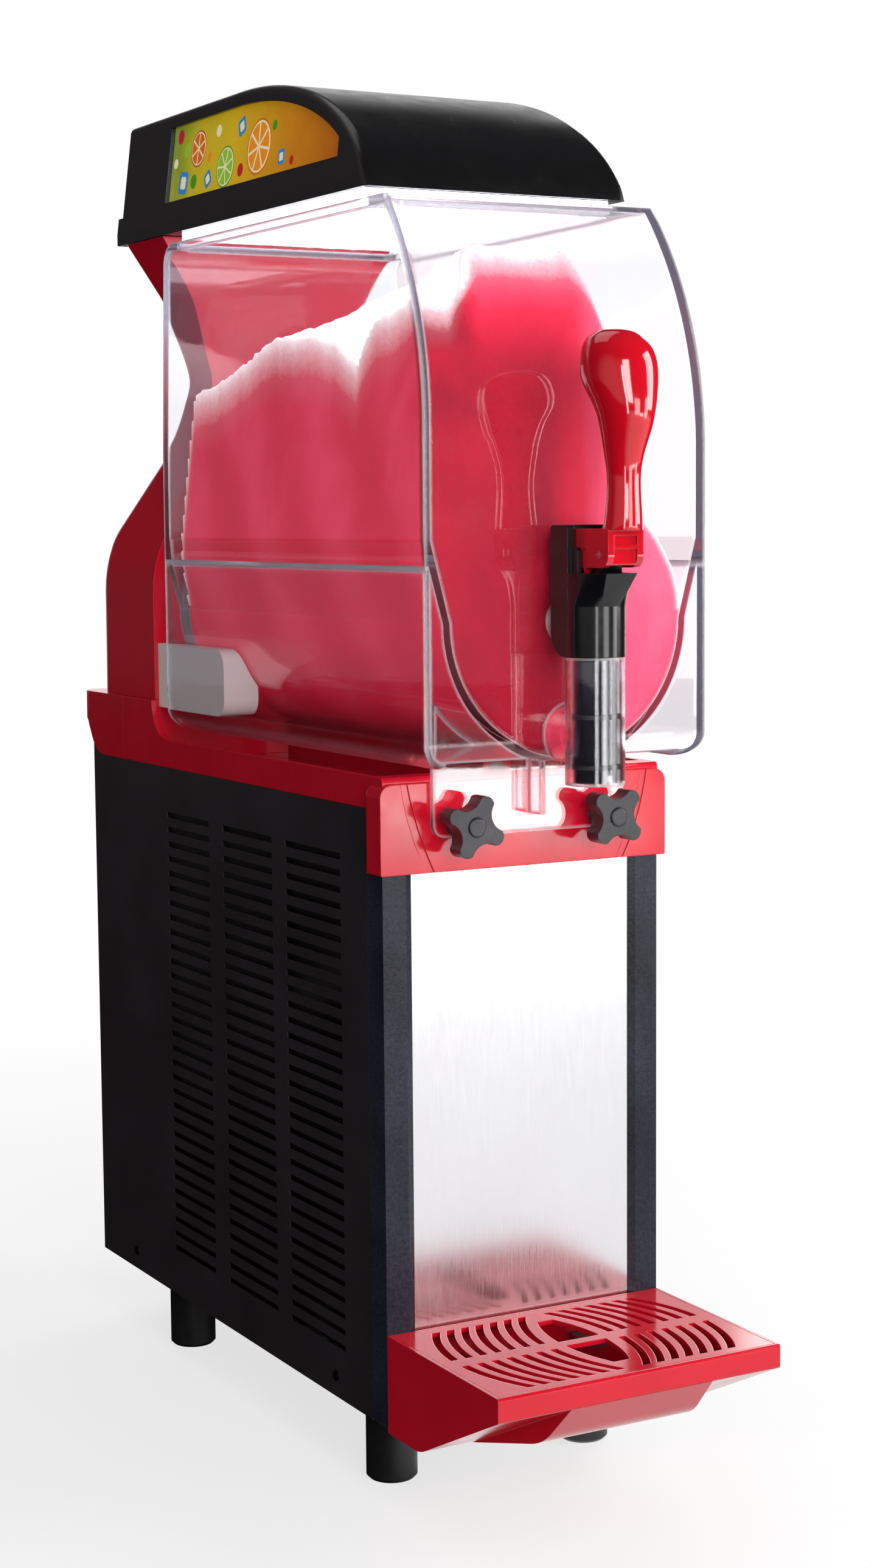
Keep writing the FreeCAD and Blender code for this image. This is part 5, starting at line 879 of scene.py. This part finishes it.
def studio_world():
    """White backdrop to the eye, a dark room with white cards to mirrors, and soft light from the right."""
    world = bpy.data.worlds.new("studio")
    bpy.context.scene.world = world
    world.use_nodes = True
    tree = world.node_tree
    way = add(tree, "TexCoord").outputs["Generated"]
    axes = add(tree, "SeparateXYZ", {0: way})
    path = add(tree, "LightPath")
    # The room that mirrors see: nearly dark, and paler for rays that went through the bowl.
    walls = add(tree, "ValToRGB", {"Fac": axes.outputs["Z"]},
                stops=((0.0, "#38383a"), (0.3, "#1c1c1e"), (0.55, "#242426"), (1.0, "#3c3c40")))
    inside = add(tree, "MapRange", {"Value": path.outputs["Transmission Depth"], "From Max": 1.0})
    room = add(tree, "MixRGB", {"Fac": inside.outputs["Result"], "Color1": walls.outputs["Color"],
                                "Color2": linear("#77778c")})
    # Its white parts: the backdrop, a card in front that only second mirrorings see, and a left card.
    behind = add(tree, "VectorMath", {0: way, 1: BACKDROP}, operation="DOT_PRODUCT")
    behind = add(tree, "MapRange", {"Value": behind.outputs["Value"], "From Min": 0.72, "From Max": 0.9})
    again = add(tree, "MapRange", {"Value": path.outputs["Glossy Depth"], "From Min": 1.0, "From Max": 2.0})
    front = add(tree, "VectorMath", {0: way, 1: FRONT_CARD}, operation="DOT_PRODUCT")
    front = add(tree, "MapRange", {"Value": front.outputs["Value"], "From Min": 0.75, "From Max": 0.88})
    front = add(tree, "Math", {0: front.outputs["Result"], 1: again.outputs["Result"]},
                operation="MULTIPLY")
    left = add(tree, "VectorMath", {0: way, 1: LEFT_CARD}, operation="DOT_PRODUCT")
    left = add(tree, "MapRange", {"Value": left.outputs["Value"], "From Min": 0.75, "From Max": 0.95,
                                  "To Max": 0.4})
    cards = add(tree, "Math", {0: front.outputs["Value"], 1: behind.outputs["Result"]},
                operation="MAXIMUM")
    cards = add(tree, "Math", {0: cards.outputs["Value"], 1: left.outputs["Result"]}, operation="MAXIMUM")
    mirrored = add(tree, "MixRGB", {"Fac": cards.outputs["Value"], "Color1": room.outputs["Color"],
                                    "Color2": WHITE})
    glazed = add(tree, "MapRange", {"Value": path.outputs["Transmission Depth"], "From Max": 1.0,
                                    "To Min": 1.0, "To Max": BEHIND_GLASS})
    straight, soft = ray_kinds(tree)
    shown = add(tree, "MixRGB", {"Fac": straight, "Color1": mirrored.outputs["Color"],
                                 "Color2": glazed.outputs["Result"]})
    side = add(tree, "MapRange", {"Value": axes.outputs["X"], "From Min": -0.9, "From Max": 0.7,
                                  "To Min": 0.15, "To Max": 0.46})
    colour = add(tree, "MixRGB", {"Fac": soft, "Color1": shown.outputs["Color"],
                                  "Color2": side.outputs["Result"]})
    tree.links.new(colour.outputs["Color"], tree.nodes["Background"].inputs["Color"])


def softbox(name, place, aim, size, watts):
    """Square soft lamp aimed at a point of the machine."""
    data = bpy.data.lights.new(name, "AREA")
    data.shape = "RECTANGLE"
    data.size, data.size_y = size
    data.energy = watts
    lamp = bpy.data.objects.new(name, data)
    lamp.location = place
    lamp.rotation_euler = (Vector(aim) - Vector(place)).to_track_quat("-Z", "Y").to_euler()
    bpy.context.scene.collection.objects.link(lamp)


CAMERA_PLACE = (-0.83072, -1.57606, 0.61554)
CAMERA_LENS = 59.83
CAMERA_TURN, CAMERA_TILT, CAMERA_ROLL = (math.radians(angle) for angle in (-28.89, 5.89, -0.47))
# Name, place, aim, width and height in metres, and watts. The two front panels stand on either side of the
# direction in which the bowl's flat front would mirror one to the eye.
LAMPS = (
    ("right_softbox", (1.9, -1.15, 1.2), (0.0, -0.15, 0.45), (1.0, 1.5), 30),
    ("front_softbox", (-0.55, -2.7, 1.3), (0.0, -0.25, 0.4), (0.8, 1.3), 30),
    ("low_front_strip", (1.0, -2.04, 0.2), (0.0, -0.25, 0.45), (0.5, 0.11), 1.5),
    ("inner_front_panel", (0.41, -2.44, 0.5), (0.0, -0.25, 0.5), (0.75, 0.8), 10),
    ("outer_front_panel", (1.66, -1.72, 0.5), (0.0, -0.25, 0.5), (0.6, 0.8), 8),
    ("front_strip", (-0.95, -2.3, 0.75), (0.0, -0.25, 0.5), (0.16, 1.4), 9),
    ("rear_right_softbox", (1.5, 1.0, 1.1), (0.0, 0.0, 0.6), (0.9, 1.6), 13),
    ("overhead_softbox", (-0.2, 0.5, 2.3), (0.0, 0.0, 0.6), (1.4, 1.0), 4),
)


def camera():
    """The photograph's view: a long lens a little above the middle of the machine, from its left front."""
    data = bpy.data.cameras.new("camera")
    data.lens = CAMERA_LENS
    data.clip_start, data.clip_end = 0.05, 30.0
    seen = bpy.data.objects.new("camera", data)
    bpy.context.scene.collection.objects.link(seen)
    level = math.cos(CAMERA_TILT)
    back = Vector((math.sin(CAMERA_TURN) * level, -math.cos(CAMERA_TURN) * level, math.sin(CAMERA_TILT)))
    right = Vector((math.cos(CAMERA_TURN), math.sin(CAMERA_TURN), 0))
    facing = Matrix((right, back.cross(right), back)).transposed() @ Matrix.Rotation(CAMERA_ROLL, 3, "Z")
    seen.matrix_world = Matrix.Translation(CAMERA_PLACE) @ facing.to_4x4()
    bpy.context.scene.camera = seen


studio_floor()
studio_world()
for lamp in LAMPS:
    softbox(*lamp)
camera()
bpy.context.scene.view_settings.view_transform = "Standard"
